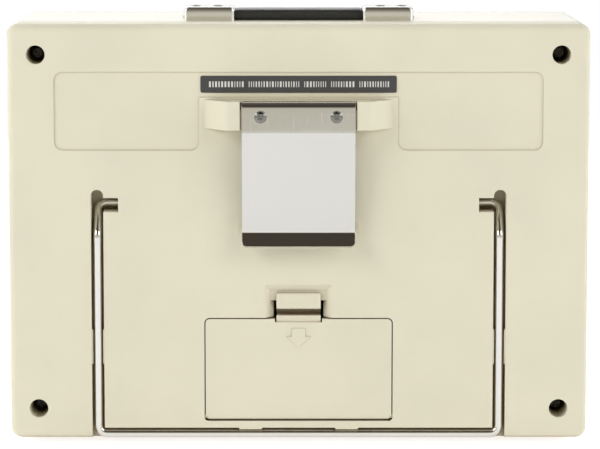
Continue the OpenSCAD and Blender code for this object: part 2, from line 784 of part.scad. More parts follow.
module battery_tray() color([0.25, 0.25, 0.27]) {
    x1 = tray_x + 1.6;
    z1 = door_z - 0.1;
    z2 = door_top + 0.1;
    difference() {
        slab(tray_t, tray_in_t + 1.6) box(-x1, z1 - 0.9, x1, z2 + 1.6);
        slab(tray_t - 1, tray_in_t) box(-tray_x, z1 + 0.1, tray_x, z2);
        // room for the body round the bail's foot bar
        slab(tray_t - 1, chan_t + 1.5)
            box(-x1 - 1, z1 - 3, x1 + 1, rebate_top + 0.08);
        // room for the latch's bend
        slab(tray_t - 1, 9) box(-latch_w / 2 - 1, z2 - 1, latch_w / 2 + 1,
            z2 + 3);
        // wire hole
        translate(at(x1 - 3, 4 + batt_h / 2, door_z + door_h / 2))
            rotate([0, 90, 0]) cylinder(r = 2.2, h = 6);
    }
    // screw ears
    for (s = [-1, 1]) mirror([s < 0 ? 1 : 0, 0, 0])
        slab(12.05, 14) difference() {
            union() {
                box(tray_x + 0.5, ear_z - 4, tray_x + 6, ear_z + 4);
                translate([tray_x + 6, ear_z]) circle(4);
            }
            translate([tray_x + 6, ear_z]) circle(1.3);
        }
}

module tray_screws() color([0.6, 0.6, 0.62])
    for (s = [-1, 1])
        translate([s * (tray_x + 6), yb - 15.5, z0 + ear_z])
            rotate([-90, 0, 0]) difference() {
                union() {
                    cylinder(r = 2, h = 1.5);
                    cylinder(r = 1, h = 9);
                }
                for (a = [0, 90]) rotate(a) translate([-1.2, -0.22, -1])
                    cube([2.4, 0.44, 1.8]);
            }

module battery() color([0.15, 0.15, 0.18]) {
    // casing, then the two terminals on its +x end
    x0 = -tray_x + 0.4;
    za = door_z + (door_h - batt_w) / 2;
    slab(4, 4 + batt_h) rr(x0, za, x0 + batt_l - 2, za + batt_w, 1.2);
    for (k = [-1, 1])
        translate(at(x0 + batt_l - 2.1, 4 + batt_h / 2,
            za + batt_w / 2 + k * 6.35)) rotate([0, 90, 0])
            cylinder(r = k < 0 ? 2.8 : 2.4, h = 2.0);
}

module battery_snap() color([0.1, 0.1, 0.1]) {
    x0 = -tray_x + 0.4 + batt_l + 0.2;
    z = door_z + door_h / 2;
    difference() {
        slab(4 + batt_h / 2 - 6, 4 + batt_h / 2 + 6)
            rr(x0, z - 12, x0 + 3.2, z + 12, 1.2);
        translate(at(x0 + 1.7, 4 + batt_h / 2, z)) rotate([0, 90, 0])
            cylinder(r = 1.5, h = 4);
    }
}

module battery_leads() {
    xs = -tray_x + 0.4 + batt_l + 1.92;
    t = 4 + batt_h / 2;
    z = door_z + door_h / 2;
    color([0.7, 0.1, 0.1]) wire([at(xs, t, z + 0.75),
        at(xs + 17, t, z + 0.75), at(xs + 17, 35.8, z + 0.75),
        at(xs + 17, 35.8, 96), at(xs + 17, board_t - 1.65, 96)], 1.6, 0.6);
    color([0.1, 0.1, 0.1]) wire([at(xs, t, z - 0.75),
        at(xs + 19, t, z - 0.75), at(xs + 19, 34, z - 0.75),
        at(xs + 19, 34, 94), at(xs + 19, board_t - 1.65, 94)], 1.6, 0.6);
}

// --- handle ---------------------------------------------------------------

module handle_strap() color([0.06, 0.06, 0.06]) {
    l = handle_l / 2 - cap_l;
    difference() {
        union() {
            translate([-l + 0.4, yb - handle_t - strap_w / 2, zt + 0.1])
                cube([2 * l - 0.8, strap_w, strap_t]);
            translate([-handle_l / 2 + 1.4,
                yb - handle_t - strap_w / 2 + 0.3, zt + 0.1])
                cube([handle_l - 2.8, strap_w - 0.6, strap_t - 0.25]);
        }
        for (x = handle_xs()) translate([x, yb - handle_t, zt - 1])
            cylinder(r = 1.2, h = 8);
    }
}

module handle_cap(s) color([0.85, 0.85, 0.87])
    mirror([s < 0 ? 1 : 0, 0, 0]) difference() {
        union() {
            intersection() {
                translate([handle_l / 2 - cap_l,
                    yb - handle_t - cap_w / 2, zt + cap_h])
                    mirror([0, 0, 1])
                    pillow(cap_l, cap_w, cap_h, 1.4, 1.1);
                // slightly crowned long sides
                for (k = [-1, 1])
                    translate([handle_l / 2 - cap_l - 1, yb - handle_t
                        + k * (cap_w / 2 - 6.5), zt + 1.5])
                        rotate([0, 90, 0]) cylinder(r = 6.5, h = cap_l + 3);
            }
            // small locating foot at the outer end
            translate([handle_l / 2 - 0.6, yb - handle_t - cap_w / 2 + 1,
                zt]) cube([1.3, 2, 0.7]);
        }
        translate([handle_l / 2 - cap_l - 1,
            yb - handle_t - strap_w / 2 - 0.1, zt - 1])
            cube([cap_l - 0.2, strap_w + 0.2, strap_t + 1.15]);
        for (x = [handle_l / 2 - 9.4, handle_l / 2 - 3.2])
            translate([x, yb - handle_t, zt - 1]) cylinder(r = 1.15, h = 8);
    }
module handle_cap_l() handle_cap(1);
module handle_cap_r() handle_cap(-1);

module handle_screws() color([0.75, 0.75, 0.77])
    for (x = handle_xs())
        translate([x, yb - handle_t, zt + cap_h]) difference() {
            union() {
                rotate_extrude() polygon([[0, 0.34], [0.8, 0.28],
                    [1.3, 0.16], [1.5, 0.04], [1.5, 0], [0, 0]]);
                translate([0, 0, -9]) cylinder(r = 1, h = 9.1);
            }
            for (a = [45, 135]) rotate(a) translate([-0.9, -0.17, -0.5])
                cube([1.8, 0.34, 2]);
        }

// --- front ----------------------------------------------------------------

module baffle() color([0.12, 0.12, 0.12])
    slab(baf_t0, baf_t1) difference() {
        rr(-bw + wall + 0.2, wall + 0.2, bw - wall - 0.2,
            grille_top + 2, 1.8);
        for (s = [-1, 1]) translate([s * speaker_x, speaker_z]) {
            circle(speaker_d / 2 - 1.5);
            for (a = [45 : 90 : 315]) rotate(a)
                translate([speaker_d / 2 + 2.4, 0]) circle(1.1);
        }
        box(jack_x - 9, panel_low - 5, jack_x + 9, grille_top + 3);
    }

module grille_cloth() color([0.42, 0.33, 0.22])
    slab(body_d - 3.1, body_d - 2.7)
        rr(-front_x - 1.5, grille_low - 1.5, front_x + 1.5,
            grille_top + 0.9, 2.7);

module grille_frame() color([0.1, 0.1, 0.1])
    slab(shell_t1 + 0.1, body_d - 3.1) difference() {
        rr(-front_x - 1.5, grille_low - 1.5, front_x + 1.5,
            grille_top + 0.9, 2.7);
        rr(-front_x + 3.5, grille_low + 3.5, -1.5, grille_top - 3.5, 2);
        rr(1.5, grille_low + 3.5, front_x - 3.5, grille_top - 3.5, 2);
    }

module speaker_basket(s) color([0.35, 0.35, 0.37])
    turned(s * speaker_x, speaker_z, baf_t0 - 0.02) mirror([0, 0, 1])
        difference() {
            union() {
                intersection() {
                    cylinder(r = speaker_d / 2 + 4.6, h = 1.2);
                    translate([-speaker_d / 2 - 1, -speaker_d / 2 - 1, 0])
                        cube([speaker_d + 2, speaker_d + 2, 2]);
                }
                rotate_extrude() polygon([[speaker_d / 2 - 2, 0],
                    [speaker_d / 2 - 0.8, 0], [speaker_d / 2 - 1.2, 4],
                    [speaker_d * 0.27, 12], [speaker_d * 0.27, 13.2],
                    [8, 13.2], [8, 12.2], [speaker_d * 0.25, 12.2],
                    [speaker_d / 2 - 2.4, 4]]);
                // lug for the leads
                rotate(s > 0 ? 45 : 135)
                    translate([13.6, -3.5, 8.4]) cube([7.4, 7, 1.2]);
            }
            translate([0, 0, -1]) cylinder(r = speaker_d / 2 - 2.2, h = 4);
            // windows between the arms
            for (a = [0 : 90 : 270]) rotate(a)
                translate([6, -6, 4.6]) cube([speaker_d, 12, 6.6]);
            for (a = [45 : 90 : 315]) rotate(a)
                translate([speaker_d / 2 + 2.4, 0, -1])
                    cylinder(r = 1.1, h = 4);
        }
module speaker_basket_l() speaker_basket(1);
module speaker_basket_r() speaker_basket(-1);

module speaker_surround(s) color([0.1, 0.1, 0.1])
    turned(s * speaker_x, speaker_z, baf_t0 - 0.02) mirror([0, 0, 1])
        rotate_extrude() difference() {
            union() {
                translate([speaker_d / 2 - 5, 0.6]) circle(2.0);
                box(speaker_d / 2 - 3.4, 0.1, speaker_d / 2 - 2.3, 0.8);
                box(speaker_d / 2 - 7.7, 0.1, speaker_d / 2 - 6.6, 0.8);
            }
            translate([speaker_d / 2 - 5, 0.6]) circle(1.5);
            box(0, 0.8, speaker_d, 5);
            box(speaker_d / 2 - 6, 0.59, speaker_d / 2 - 4, 1.2);
        }
module speaker_surround_l() speaker_surround(1);
module speaker_surround_r() speaker_surround(-1);

module speaker_cone(s) color([0.2, 0.19, 0.18])
    turned(s * speaker_x, speaker_z, baf_t0 - 0.02) mirror([0, 0, 1])
        rotate_extrude() union() {
            polygon([[speaker_d / 2 - 7.8, 0.2], [speaker_d / 2 - 7.8, 0.8],
                [7.2, 8.6], [7.2, 8.0]]);
            // dust cap and voice-coil former
            polygon([[0, 5.0], [2.5, 5.2], [5, 6.2], [7.4, 8.2],
                [7.4, 12.0], [6.9, 12.0], [6.9, 8.6], [4.7, 6.8],
                [2.4, 5.8], [0, 5.6]]);
        }
module speaker_cone_l() speaker_cone(1);
module speaker_cone_r() speaker_cone(-1);

module speaker_magnet(s) color([0.3, 0.3, 0.3])
    turned(s * speaker_x, speaker_z, baf_t0 - 13.3) mirror([0, 0, 1]) {
        cylinder(r = 14.5, h = 1.2);
        translate([0, 0, 1.1]) cylinder(r = 16, h = 5);
        translate([0, 0, 6]) cylinder(r = 14.5, h = 1.4);
    }
module speaker_magnet_l() speaker_magnet(1);
module speaker_magnet_r() speaker_magnet(-1);

module speaker_screws() color([0.5, 0.5, 0.52])
    for (s = [-1, 1], a = [45 : 90 : 315])
        turned(s * speaker_x + cos(a) * (speaker_d / 2 + 2.4),
            speaker_z + sin(a) * (speaker_d / 2 + 2.4), baf_t0 - 2.7)
            union() {
                difference() {
                    cylinder(r = 2, h = 1.45);
                    for (b = [0, 90]) rotate(b)
                        translate([-1.2, -0.2, -1]) cube([2.4, 0.4, 1.7]);
                }
                translate([0, 0, 1.4]) cylinder(r = 1, h = 3.6);
            }

module speaker_leads() color([0.15, 0.15, 0.6])
    for (s = [-1, 1], k = [0, 1])
        wire([at(s * (speaker_x + 12 + k * 3), baf_t0 - 9.65,
                speaker_z + 15 - k * 3),
            at(s * (speaker_x + 12 + k * 3), baf_t0 - 17 - k * 2,
                speaker_z + 15 - k * 3),
            at(s * (speaker_x + 7 + k * 2), baf_t0 - 17 - k * 2,
                93 + k * 3),
            at(s * (speaker_x + 7 + k * 2), board_t - 1.65, 93 + k * 3)],
            1.3, 0.5);

module main_board() color([0.1, 0.35, 0.2]) {
    slab(board_t - 1.6, board_t) difference() {
        box(jack_x + 10, panel_low - 0.5, front_x - 5, panel_top + 0.5);
        for (x = [jack_x + 13, front_x - 8],
                z = [panel_low + 3, panel_top - 3])
            translate([x, z]) circle(1.3);
    }
}

module board_chips() color([0.12, 0.12, 0.13]) {
    for (x = [-34, -12, 10]) slab(board_t - 3.5, board_t - 1.6)
        box(x, 97.5, x + 9, 102);
    for (x = [-41, 27, 35])
        turned(x, 100, board_t - 9.5) cylinder(r = 3, h = 7.9);
}

module control_panel() color([0.75, 0.6, 0.42])
    slab(pan_t0, pan_t1) difference() {
        rr(-front_x + 0.2, panel_low + 0.2, front_x - 0.2,
            panel_top - 0.2, 2.3);
        for (x = knob_x) translate([x, pan_z]) circle(3.65);
        translate([jack_x, pan_z]) circle(5.6);
        translate([phone_x, pan_z]) circle(3.1);
        translate([led_x, pan_z]) circle(1.7);
    }

// a control: case on the board, threaded bush through the panel
module pot(x) color([0.6, 0.6, 0.62]) {
    difference() {
        union() {
            slab(board_t + 0.02, pan_t0 - 4)
                rr(x - 6, pan_z - 6, x + 6, pan_z + 6, 0.8);
            turned(x, pan_z, pan_t0 - 4.1)
                cylinder(r = 3.5, h = pan_t1 - pan_t0 + 7.5);
        }
        turned(x, pan_z, pan_t0 - 7)
            cylinder(r = shaft_r + shaft_clear - 0.6, h = 16);
    }
}
module pot_gain() pot(knob_x[0]);
module pot_tone() pot(knob_x[1]);
module pot_volume() pot(knob_x[2]);

module pot_nuts() color([0.75, 0.75, 0.77])
    for (x = knob_x) turned(x, pan_z, pan_t1 + 0.02) difference() {
        cylinder(r = 5, h = 1.5, $fn = 6);
        translate([0, 0, -1]) cylinder(r = 3.52, h = 4);
    }

// knob and its shaft, which runs in the control's bush
module knob(x) {
    t0 = pan_t1 + 0.7;
    h = body_d + knob_proud - t0;
    rs = shaft_r - 0.6;
    color([0.13, 0.12, 0.11]) turned(x, pan_z, t0) difference() {
        union() {
            rotate_extrude() polygon([[0, 0], [knob_d / 2 + 1, 0],
                [knob_d / 2 + 1, 0.8], [knob_d / 2 - 0.4, 1.8],
                [knob_d / 2 - 1, h - 0.8], [knob_d / 2 - 1.7, h],
                [0, h]]);
        }
        // hollow over the nut and the bush
        translate([0, 0, -1]) cylinder(r = 5.35, h = 5.4);
        // grips
        for (a = [0 : 20 : 340]) rotate(a)
            translate([knob_d / 2 - 0.35, 0, 1.9])
                cylinder(r = 0.55, h = h, $fn = 16);
        // pointer groove
        translate([-0.35, 1.5, h - 0.35]) cube([0.7, knob_d, 2]);
    }
    turned(x, pan_z, pan_t0 - 5) cylinder(r = rs,
        h = t0 + 5 - pan_t0 + h - 1);
}
module knob_gain() knob(knob_x[0]);
module knob_tone() knob(knob_x[1]);
module knob_volume() knob(knob_x[2]);

module input_jack() color([0.14, 0.14, 0.15]) {
    t1 = pan_t1 + 3.2;
    difference() {
        union() {
            slab(t1 - jack_len - 2, pan_t0 - 0.05)
                rr(jack_x - 7.5, pan_z - 8, jack_x + 7.5, pan_z + 8, 1);
            turned(jack_x, pan_z, pan_t0 - 0.1)
                cylinder(r = 5.4, h = t1 - pan_t0 + 0.1);
        }
        turned(jack_x, pan_z, t1 - jack_len)
            cylinder(r = jack_r, h = jack_len + 1);
    }
}

module jack_nuts() color([0.75, 0.75, 0.77]) {
    turned(jack_x, pan_z, pan_t1 + 0.02) difference() {
        cylinder(r = 8, h = 2, $fn = 6);
        translate([0, 0, -1]) cylinder(r = 5.42, h = 4);
    }
    turned(phone_x, pan_z, pan_t1 + 0.02) difference() {
        cylinder(r = 4, h = 1.2);
        translate([0, 0, -1]) cylinder(r = 3.02, h = 4);
        for (a = [0, 90]) rotate(a) translate([-5, -0.4, 0.7])
            cube([10, 0.8, 1]);
    }
}

module headphone_jack() color([0.14, 0.14, 0.15]) {
    t1 = pan_t1 + 1.6;
    difference() {
        union() {
            slab(board_t + 0.02, pan_t0 - 0.05)
                rr(phone_x - 4, pan_z - 4, phone_x + 4, pan_z + 4, 0.8);
            turned(phone_x, pan_z, pan_t0 - 0.1)
                cylinder(r = 3, h = t1 - pan_t0 + 0.1);
        }
        turned(phone_x, pan_z, t1 - phone_len)
            cylinder(r = phone_r, h = phone_len + 1);
    }
}

module power_led() color([0.9, 0.15, 0.1]) {
    turned(led_x, pan_z, pan_t0 - 1.2) {
        cylinder(r = 1.9, h = 1);
        cylinder(r = 1.5, h = pan_t1 - pan_t0 + 1.2);
        translate([0, 0, pan_t1 - pan_t0 + 1.2]) intersection() {
            sphere(1.5);
            translate([-2, -2, 0]) cube(4);
        }
    }
    for (k = [-0.8, 0.8]) turned(led_x + k, pan_z, board_t)
        cylinder(r = 0.25, h = pan_t0 - board_t - 1);
}

// --- choice of node -------------------------------------------------------
cabinet_shell();
rear_cover();
front_frame();
rubber_feet();
case_screws();
rating_label();
bail();
belt_clip_strip();
belt_clip_tongue();
clip_screws();
battery_door();
door_latch();
battery_tray();
tray_screws();
battery();
battery_snap();
battery_leads();
handle_strap();
handle_cap_l();
handle_cap_r();
handle_screws();
baffle();
grille_cloth();
grille_frame();
speaker_basket_l();
speaker_basket_r();
speaker_surround_l();
speaker_surround_r();
speaker_cone_l();
speaker_cone_r();
speaker_magnet_l();
speaker_magnet_r();
speaker_screws();
speaker_leads();
main_board();
board_chips();
control_panel();
pot_gain();
pot_tone();
pot_volume();
pot_nuts();
knob_gain();
knob_tone();
knob_volume();
input_jack();
jack_nuts();
headphone_jack();
power_led();
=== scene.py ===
"""Looks of a small battery amplifier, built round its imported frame.

The rear faces +Y, the front with its grille and controls faces -Y.
"""

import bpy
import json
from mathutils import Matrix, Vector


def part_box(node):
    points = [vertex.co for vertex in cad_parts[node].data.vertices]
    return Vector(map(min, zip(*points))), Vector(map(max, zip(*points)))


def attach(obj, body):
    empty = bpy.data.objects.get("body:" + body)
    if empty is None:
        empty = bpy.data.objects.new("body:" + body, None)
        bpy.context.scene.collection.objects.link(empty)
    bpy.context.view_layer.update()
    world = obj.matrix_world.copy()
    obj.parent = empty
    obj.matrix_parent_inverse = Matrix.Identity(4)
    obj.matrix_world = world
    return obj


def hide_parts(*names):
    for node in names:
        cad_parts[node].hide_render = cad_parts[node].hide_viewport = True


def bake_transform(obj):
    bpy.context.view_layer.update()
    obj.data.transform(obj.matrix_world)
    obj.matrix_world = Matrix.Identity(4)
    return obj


bl_info = {
    "name": "Small Amplifier Looks",
    "version": (1, 0, 0),
    "blender": (4, 5, 0),
    "location": "View3D > Sidebar > Amplifier",
    "description": "Finishes, fabric, print and stage for a small amplifier",
    "category": "Object",
}

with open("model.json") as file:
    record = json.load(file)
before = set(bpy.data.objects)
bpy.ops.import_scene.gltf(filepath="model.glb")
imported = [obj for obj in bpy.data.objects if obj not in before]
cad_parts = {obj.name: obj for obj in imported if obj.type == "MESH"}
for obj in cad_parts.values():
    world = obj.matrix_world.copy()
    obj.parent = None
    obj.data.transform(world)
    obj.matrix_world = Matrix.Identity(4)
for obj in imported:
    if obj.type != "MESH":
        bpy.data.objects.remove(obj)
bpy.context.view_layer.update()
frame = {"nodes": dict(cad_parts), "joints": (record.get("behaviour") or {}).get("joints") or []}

import json
import math
import random

import bpy
from bpy.props import FloatProperty, FloatVectorProperty, PointerProperty
from mathutils import Vector

NODES = frame["nodes"]
JOINTS = {j["name"]: Vector(j["pos_m"]) for j in frame["joints"]}
MM = 0.001
# the flat rear face lies this far behind the bail's pivots
PIVOT_TO_REAR = 7 * MM
REAR_Y = JOINTS["bail_pivot"].y + PIVOT_TO_REAR
FLOOR_TO_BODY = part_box("cabinet_shell")[0].z
# print starts this far inside the face that carries it
PRINT_SUNK = 0.01 * MM
# a Mix node's sockets for colours
MIX_FACTOR, MIX_A, MIX_B, MIX_COLOUR = 0, 6, 7, 2
DUST = (0.62, 0.60, 0.56)


# --- settings -----------------------------------------------------------


def colour(name, text, default):
    return FloatVectorProperty(
        name=name, description=text, default=default, subtype="COLOR",
        size=3, min=0, max=1,
    )


def length(name, text, default):
    return FloatProperty(
        name=name, description=text, default=default, unit="LENGTH",
        subtype="DISTANCE", min=0, precision=5,
    )


class AmpColours(bpy.types.PropertyGroup):
    """Colours of the amplifier's finishes, and the painted shade of its gaps."""

    cream: colour("Cream", "Plastic of the housing", (0.775, 0.740, 0.595))
    # Painted shade: the warm dark brown painted into narrow gaps of the cream plastic.
    gap: colour("Gaps", "Plastic inside narrow gaps", (0.30, 0.17, 0.06))
    chrome: colour("Chrome", "Bail, clip and caps", (0.82, 0.81, 0.79))
    strap: colour("Strap", "Vinyl of the handle", (0.012, 0.012, 0.012))
    label: colour("Label", "Film of the label", (0.055, 0.053, 0.055))
    print_white: colour("Print", "Print on the label", (0.80, 0.80, 0.78))
    cloth_light: colour("Cloth light", "Grille warp", (0.40, 0.30, 0.18))
    cloth_dark: colour("Cloth dark", "Grille weft", (0.10, 0.055, 0.03))
    panel: colour("Panel", "Control panel", (0.42, 0.27, 0.14))
    knob: colour("Knob", "Moulded knobs", (0.018, 0.015, 0.013))


class AmpSizes(bpy.types.PropertyGroup):
    """Sizes of the details that the finishes add."""

    grain: length("Grain", "Pitch of the moulded grain", 0.00045)
    weave: length("Weave", "Pitch of the grille's threads", 0.0018)
    relief: length("Relief", "Height of the grille's threads", 0.00012)
    sheet: length("Clip sheet", "Thickness of the clip", 0.001)
    crease: length("Crease", "Clip's crease above its lower edge", 0.0037)
    inset: length("Crease depth", "Crease from the rear face", 0.0031)
    lip: length("Lip", "Lower edge from the rear face", 0.0054)
    print_high: length("Print height", "Thickness of the print", 0.00004)


class AmpStage(bpy.types.PropertyGroup):
    """Camera and light."""

    back: length("Camera distance", "From the rear face", 0.826)
    high: length("Camera height", "Above the body's bottom", 0.163)
    aim: length("Aim height", "Above the body's bottom", 0.0606)
    lens: FloatProperty(
        name="Lens", description="Focal length on a 36 mm sensor",
        default=178.9, min=20, unit="CAMERA",
    )
    key: FloatProperty(
        name="Key", description="Power of the large upper light",
        default=12.0, min=0, unit="POWER",
    )
    fill: FloatProperty(
        name="Fill", description="Power of the side lights",
        default=3.5, min=0, unit="POWER",
    )


def settings():
    s = bpy.context.scene
    return s.amp_colours, s.amp_sizes, s.amp_stage


# --- node helpers --------------------------------------------------------


def put(tree, kind, inputs=None, **props):
    """Adds a node; inputs are values or the sockets that feed them."""
    node = tree.nodes.new(kind)
    for key, value in props.items():
        setattr(node, key, value)
    for key, value in (inputs or {}).items():
        if isinstance(value, bpy.types.NodeSocket):
            tree.links.new(value, node.inputs[key])
        else:
            node.inputs[key].default_value = value
    return node


def maths(tree, operation, a, b=0.0, c=0.0, clamp=False):
    node = put(tree, "ShaderNodeMath", {0: a, 1: b, 2: c},
               operation=operation, use_clamp=clamp)
    return node.outputs[0]


def ramp(tree, value, low, high, to_low=0.0, to_high=1.0):
    node = put(tree, "ShaderNodeMapRange", {
        "Value": value, "From Min": low, "From Max": high,
        "To Min": to_low, "To Max": to_high})
    return node.outputs["Result"]


def noise(tree, vector, scale, detail=3.0, rough=0.5):
    node = put(tree, "ShaderNodeTexNoise", {
        "Vector": vector, "Scale": scale, "Detail": detail,
        "Roughness": rough})
    return node.outputs["Fac"]


def tint(tree, fac, a, b, blend="MIX"):
    node = put(tree, "ShaderNodeMix", data_type="RGBA", blend_type=blend)
    for index, value in ((MIX_FACTOR, fac), (MIX_A, a), (MIX_B, b)):
        if isinstance(value, bpy.types.NodeSocket):
            tree.links.new(value, node.inputs[index])
        else:
            node.inputs[index].default_value = (
                value if index == MIX_FACTOR else (*value, 1.0))
    return node.outputs[MIX_COLOUR]


def effect(name, inputs, outputs):
    """An empty shader node group with its sockets."""
    tree = bpy.data.node_groups.new(name, "ShaderNodeTree")
    for label, default in inputs.items():
        sock = tree.interface.new_socket(
            label, in_out="INPUT", socket_type="NodeSocketFloat")
        sock.default_value = default
    for label, kind in outputs.items():
        tree.interface.new_socket(
            label, in_out="OUTPUT", socket_type="NodeSocket" + kind)
    return (tree, tree.nodes.new("NodeGroupInput").outputs,
            tree.nodes.new("NodeGroupOutput").inputs)


def feed(tree, source, target):
    tree.links.new(source, target)


def object_space(tree):
    return put(tree, "ShaderNodeTexCoord").outputs["Object"]


# --- shared effects --------------------------------------------------------


def make_moulded_grain():
    """Spark-eroded grain: fine pits over broader unevenness."""
    tree, given, out = effect(
        "moulded_grain", {"Pitch": 0.0005},
        {"Height": "Float", "Cloud": "Float"})
    place = object_space(tree)
    fine = maths(tree, "DIVIDE", 1.0, given["Pitch"])
    cells = put(tree, "ShaderNodeTexVoronoi", {
        "Vector": place, "Scale": fine, "Randomness": 1.0},
        feature="SMOOTH_F1")
    pits = noise(tree, place, maths(tree, "MULTIPLY", fine, 0.6), 2.0)
    mix = maths(tree, "ADD",
                maths(tree, "MULTIPLY", cells.outputs["Distance"], 0.6),
                maths(tree, "MULTIPLY", pits, 0.6))
    feed(tree, mix, out["Height"])
    broad = noise(tree, place, 28.0, 4.0, 0.55)
    feed(tree, ramp(tree, broad, 0.35, 0.65), out["Cloud"])
    return tree


def make_edge_wear():
    """A rounded normal for small edges, and a mask where they rub."""
    tree, given, out = effect(
        "edge_wear", {"Radius": 0.0003, "Amount": 0.5},
        {"Normal": "Vector", "Mask": "Float"})
    soft = put(tree, "ShaderNodeBevel", {"Radius": given["Radius"]},
               samples=4)
    plain = put(tree, "ShaderNodeNewGeometry")
    along = put(tree, "ShaderNodeVectorMath", {
        0: soft.outputs["Normal"], 1: plain.outputs["Normal"]},
        operation="DOT_PRODUCT")
    bent = ramp(tree, along.outputs["Value"], 0.995, 0.90)
    patchy = ramp(tree, noise(tree, object_space(tree), 260.0, 4.0, 0.6),
                  0.40, 0.62)
    mask = maths(tree, "MULTIPLY", maths(tree, "MULTIPLY", bent, patchy),
                 given["Amount"], clamp=True)
    feed(tree, soft.outputs["Normal"], out["Normal"])
    feed(tree, mask, out["Mask"])
    return tree


def make_painted_gap_shade():
    """A mask inside narrow gaps, for painted shade: the warm dark of shade and bounce light
    there, put into the colour.
    """
    tree, given, out = effect(
        "painted_gap_shade", {"Reach": 0.003}, {"Mask": "Float"})
    open_air = put(tree, "ShaderNodeAmbientOcclusion",
                   {"Distance": given["Reach"]}, samples=4)
    feed(tree, ramp(tree, open_air.outputs["AO"], 0.62, 0.12),
         out["Mask"])
    return tree


def make_settled_dust():
    """Fine dust on what faces up."""
    tree, given, out = effect(
        "settled_dust", {"Amount": 0.1}, {"Mask": "Float"})
    faces = put(tree, "ShaderNodeNewGeometry")
    up = put(tree, "ShaderNodeSeparateXYZ",
             {0: faces.outputs["Normal"]}).outputs["Z"]
    place = object_space(tree)
    specks = ramp(tree, noise(tree, place, 900.0, 5.0, 0.7), 0.48, 0.75)
    drift = noise(tree, place, 40.0, 2.0)
    mask = maths(tree, "MULTIPLY", maths(tree, "MULTIPLY", specks, drift),
                 maths(tree, "MAXIMUM", up, 0.0))
    feed(tree, maths(tree, "MULTIPLY", mask, given["Amount"], clamp=True),
         out["Mask"])
    return tree


def make_hand_marks():
    """Smears and hairline scratches on glossy surfaces."""
    tree, given, out = effect(
        "hand_marks", {"Scale": 60.0},
        {"Smear": "Float", "Scratch": "Float"})
    place = object_space(tree)
    smear = noise(tree, place, given["Scale"], 5.0, 0.6)
    feed(tree, ramp(tree, smear, 0.42, 0.68), out["Smear"])
    long = put(tree, "ShaderNodeVectorMath", {
        0: place, 1: (1.0, 1.0, 0.06)}, operation="MULTIPLY")
    lines = noise(tree, long.outputs[0],
                  maths(tree, "MULTIPLY", given["Scale"], 70.0), 2.0, 0.5)
    feed(tree, ramp(tree, lines, 0.62, 0.72), out["Scratch"])
    return tree


def make_drawn_lines():
    """Fine parallel lines of rolled or brushed metal along X."""
    tree, given, out = effect(
        "drawn_lines", {"Pitch": 0.0002}, {"Height": "Float"})
    long = put(tree, "ShaderNodeVectorMath", {
        0: object_space(tree), 1: (0.02, 1.0, 1.0)}, operation="MULTIPLY")
    feed(tree, noise(tree, long.outputs[0],
                     maths(tree, "DIVIDE", 1.0, given["Pitch"]), 3.0, 0.6),
         out["Height"])
    return tree


def make_thread_weave():
    """Over-and-under threads across X and Z."""
    tree, given, out = effect(
        "thread_weave", {"Pitch": 0.0018},
        {"Height": "Float", "Warp": "Float", "Fibre": "Float"})
    place = put(tree, "ShaderNodeSeparateXYZ", {0: object_space(tree)})
    turn = maths(tree, "DIVIDE", math.pi, given["Pitch"])
    wave_x = maths(tree, "SINE", maths(tree, "MULTIPLY",
                                       place.outputs["X"], turn))
    wave_z = maths(tree, "SINE", maths(tree, "MULTIPLY",
                                       place.outputs["Z"], turn))
    sign = maths(tree, "MULTIPLY", wave_x, wave_z)
    feed(tree, ramp(tree, sign, -0.12, 0.12), out["Warp"])
    fibre = noise(tree, object_space(tree), 5200.0, 3.0, 0.7)
    feed(tree, fibre, out["Fibre"])
    feed(tree, maths(tree, "ADD", maths(tree, "ABSOLUTE", sign),
                     maths(tree, "MULTIPLY", fibre, 0.5)), out["Height"])
    return tree


def make_leather_cells():
    """Pebbled vinyl leather with creases; Crease marks them for painted shade."""
    tree, given, out = effect(
        "leather_cells", {"Pitch": 0.0007},
        {"Height": "Float", "Crease": "Float"})
    place = object_space(tree)
    scale = maths(tree, "DIVIDE", 1.0, given["Pitch"])
    cells = put(tree, "ShaderNodeTexVoronoi", {
        "Vector": place, "Scale": scale}, feature="DISTANCE_TO_EDGE")
    edge = ramp(tree, cells.outputs["Distance"], 0.0, 0.14)
    feed(tree, maths(tree, "ADD", edge, maths(
        tree, "MULTIPLY", noise(tree, place, 3000.0), 0.3)), out["Height"])
    feed(tree, maths(tree, "SUBTRACT", 1.0, edge), out["Crease"])
    return tree


EFFECTS = {}


def build_effects():
    for make in (make_moulded_grain, make_edge_wear, make_painted_gap_shade,
                 make_settled_dust, make_hand_marks, make_drawn_lines,
                 make_thread_weave, make_leather_cells):
        EFFECTS[make.__name__.removeprefix("make_")] = make()


def use(tree, name, **values):
    """Places a shared effect in a material, with its own values."""
    node = tree.nodes.new("ShaderNodeGroup")
    node.node_tree = EFFECTS[name]
    for key, value in values.items():
        node.inputs[key.title()].default_value = value
    return node.outputs


# --- finishes -----------------------------------------------------------


def blank(name, roughness, metallic=0.0, **sockets):
    """A material with its shader; constants go on the shader itself."""
    mat = bpy.data.materials.new(name)
    mat.use_nodes = True
    tree = mat.node_tree
    shader = tree.nodes["Principled BSDF"]
    shader.inputs["Roughness"].default_value = roughness
    shader.inputs["Metallic"].default_value = metallic
    for key, value in sockets.items():
        shader.inputs[key.replace("_", " ")].default_value = value
    return mat, tree, shader.inputs


def bumped(tree, inputs, height, depth, normal=None, strength=1.0):
    feeds = {"Height": height, "Distance": depth, "Strength": strength}
    if normal is not None:
        feeds["Normal"] = normal
    feed(tree, put(tree, "ShaderNodeBump", feeds).outputs["Normal"],
         inputs["Normal"])


def scaled(colour_value, factor):
    return tuple(min(1.0, c * factor) for c in colour_value)


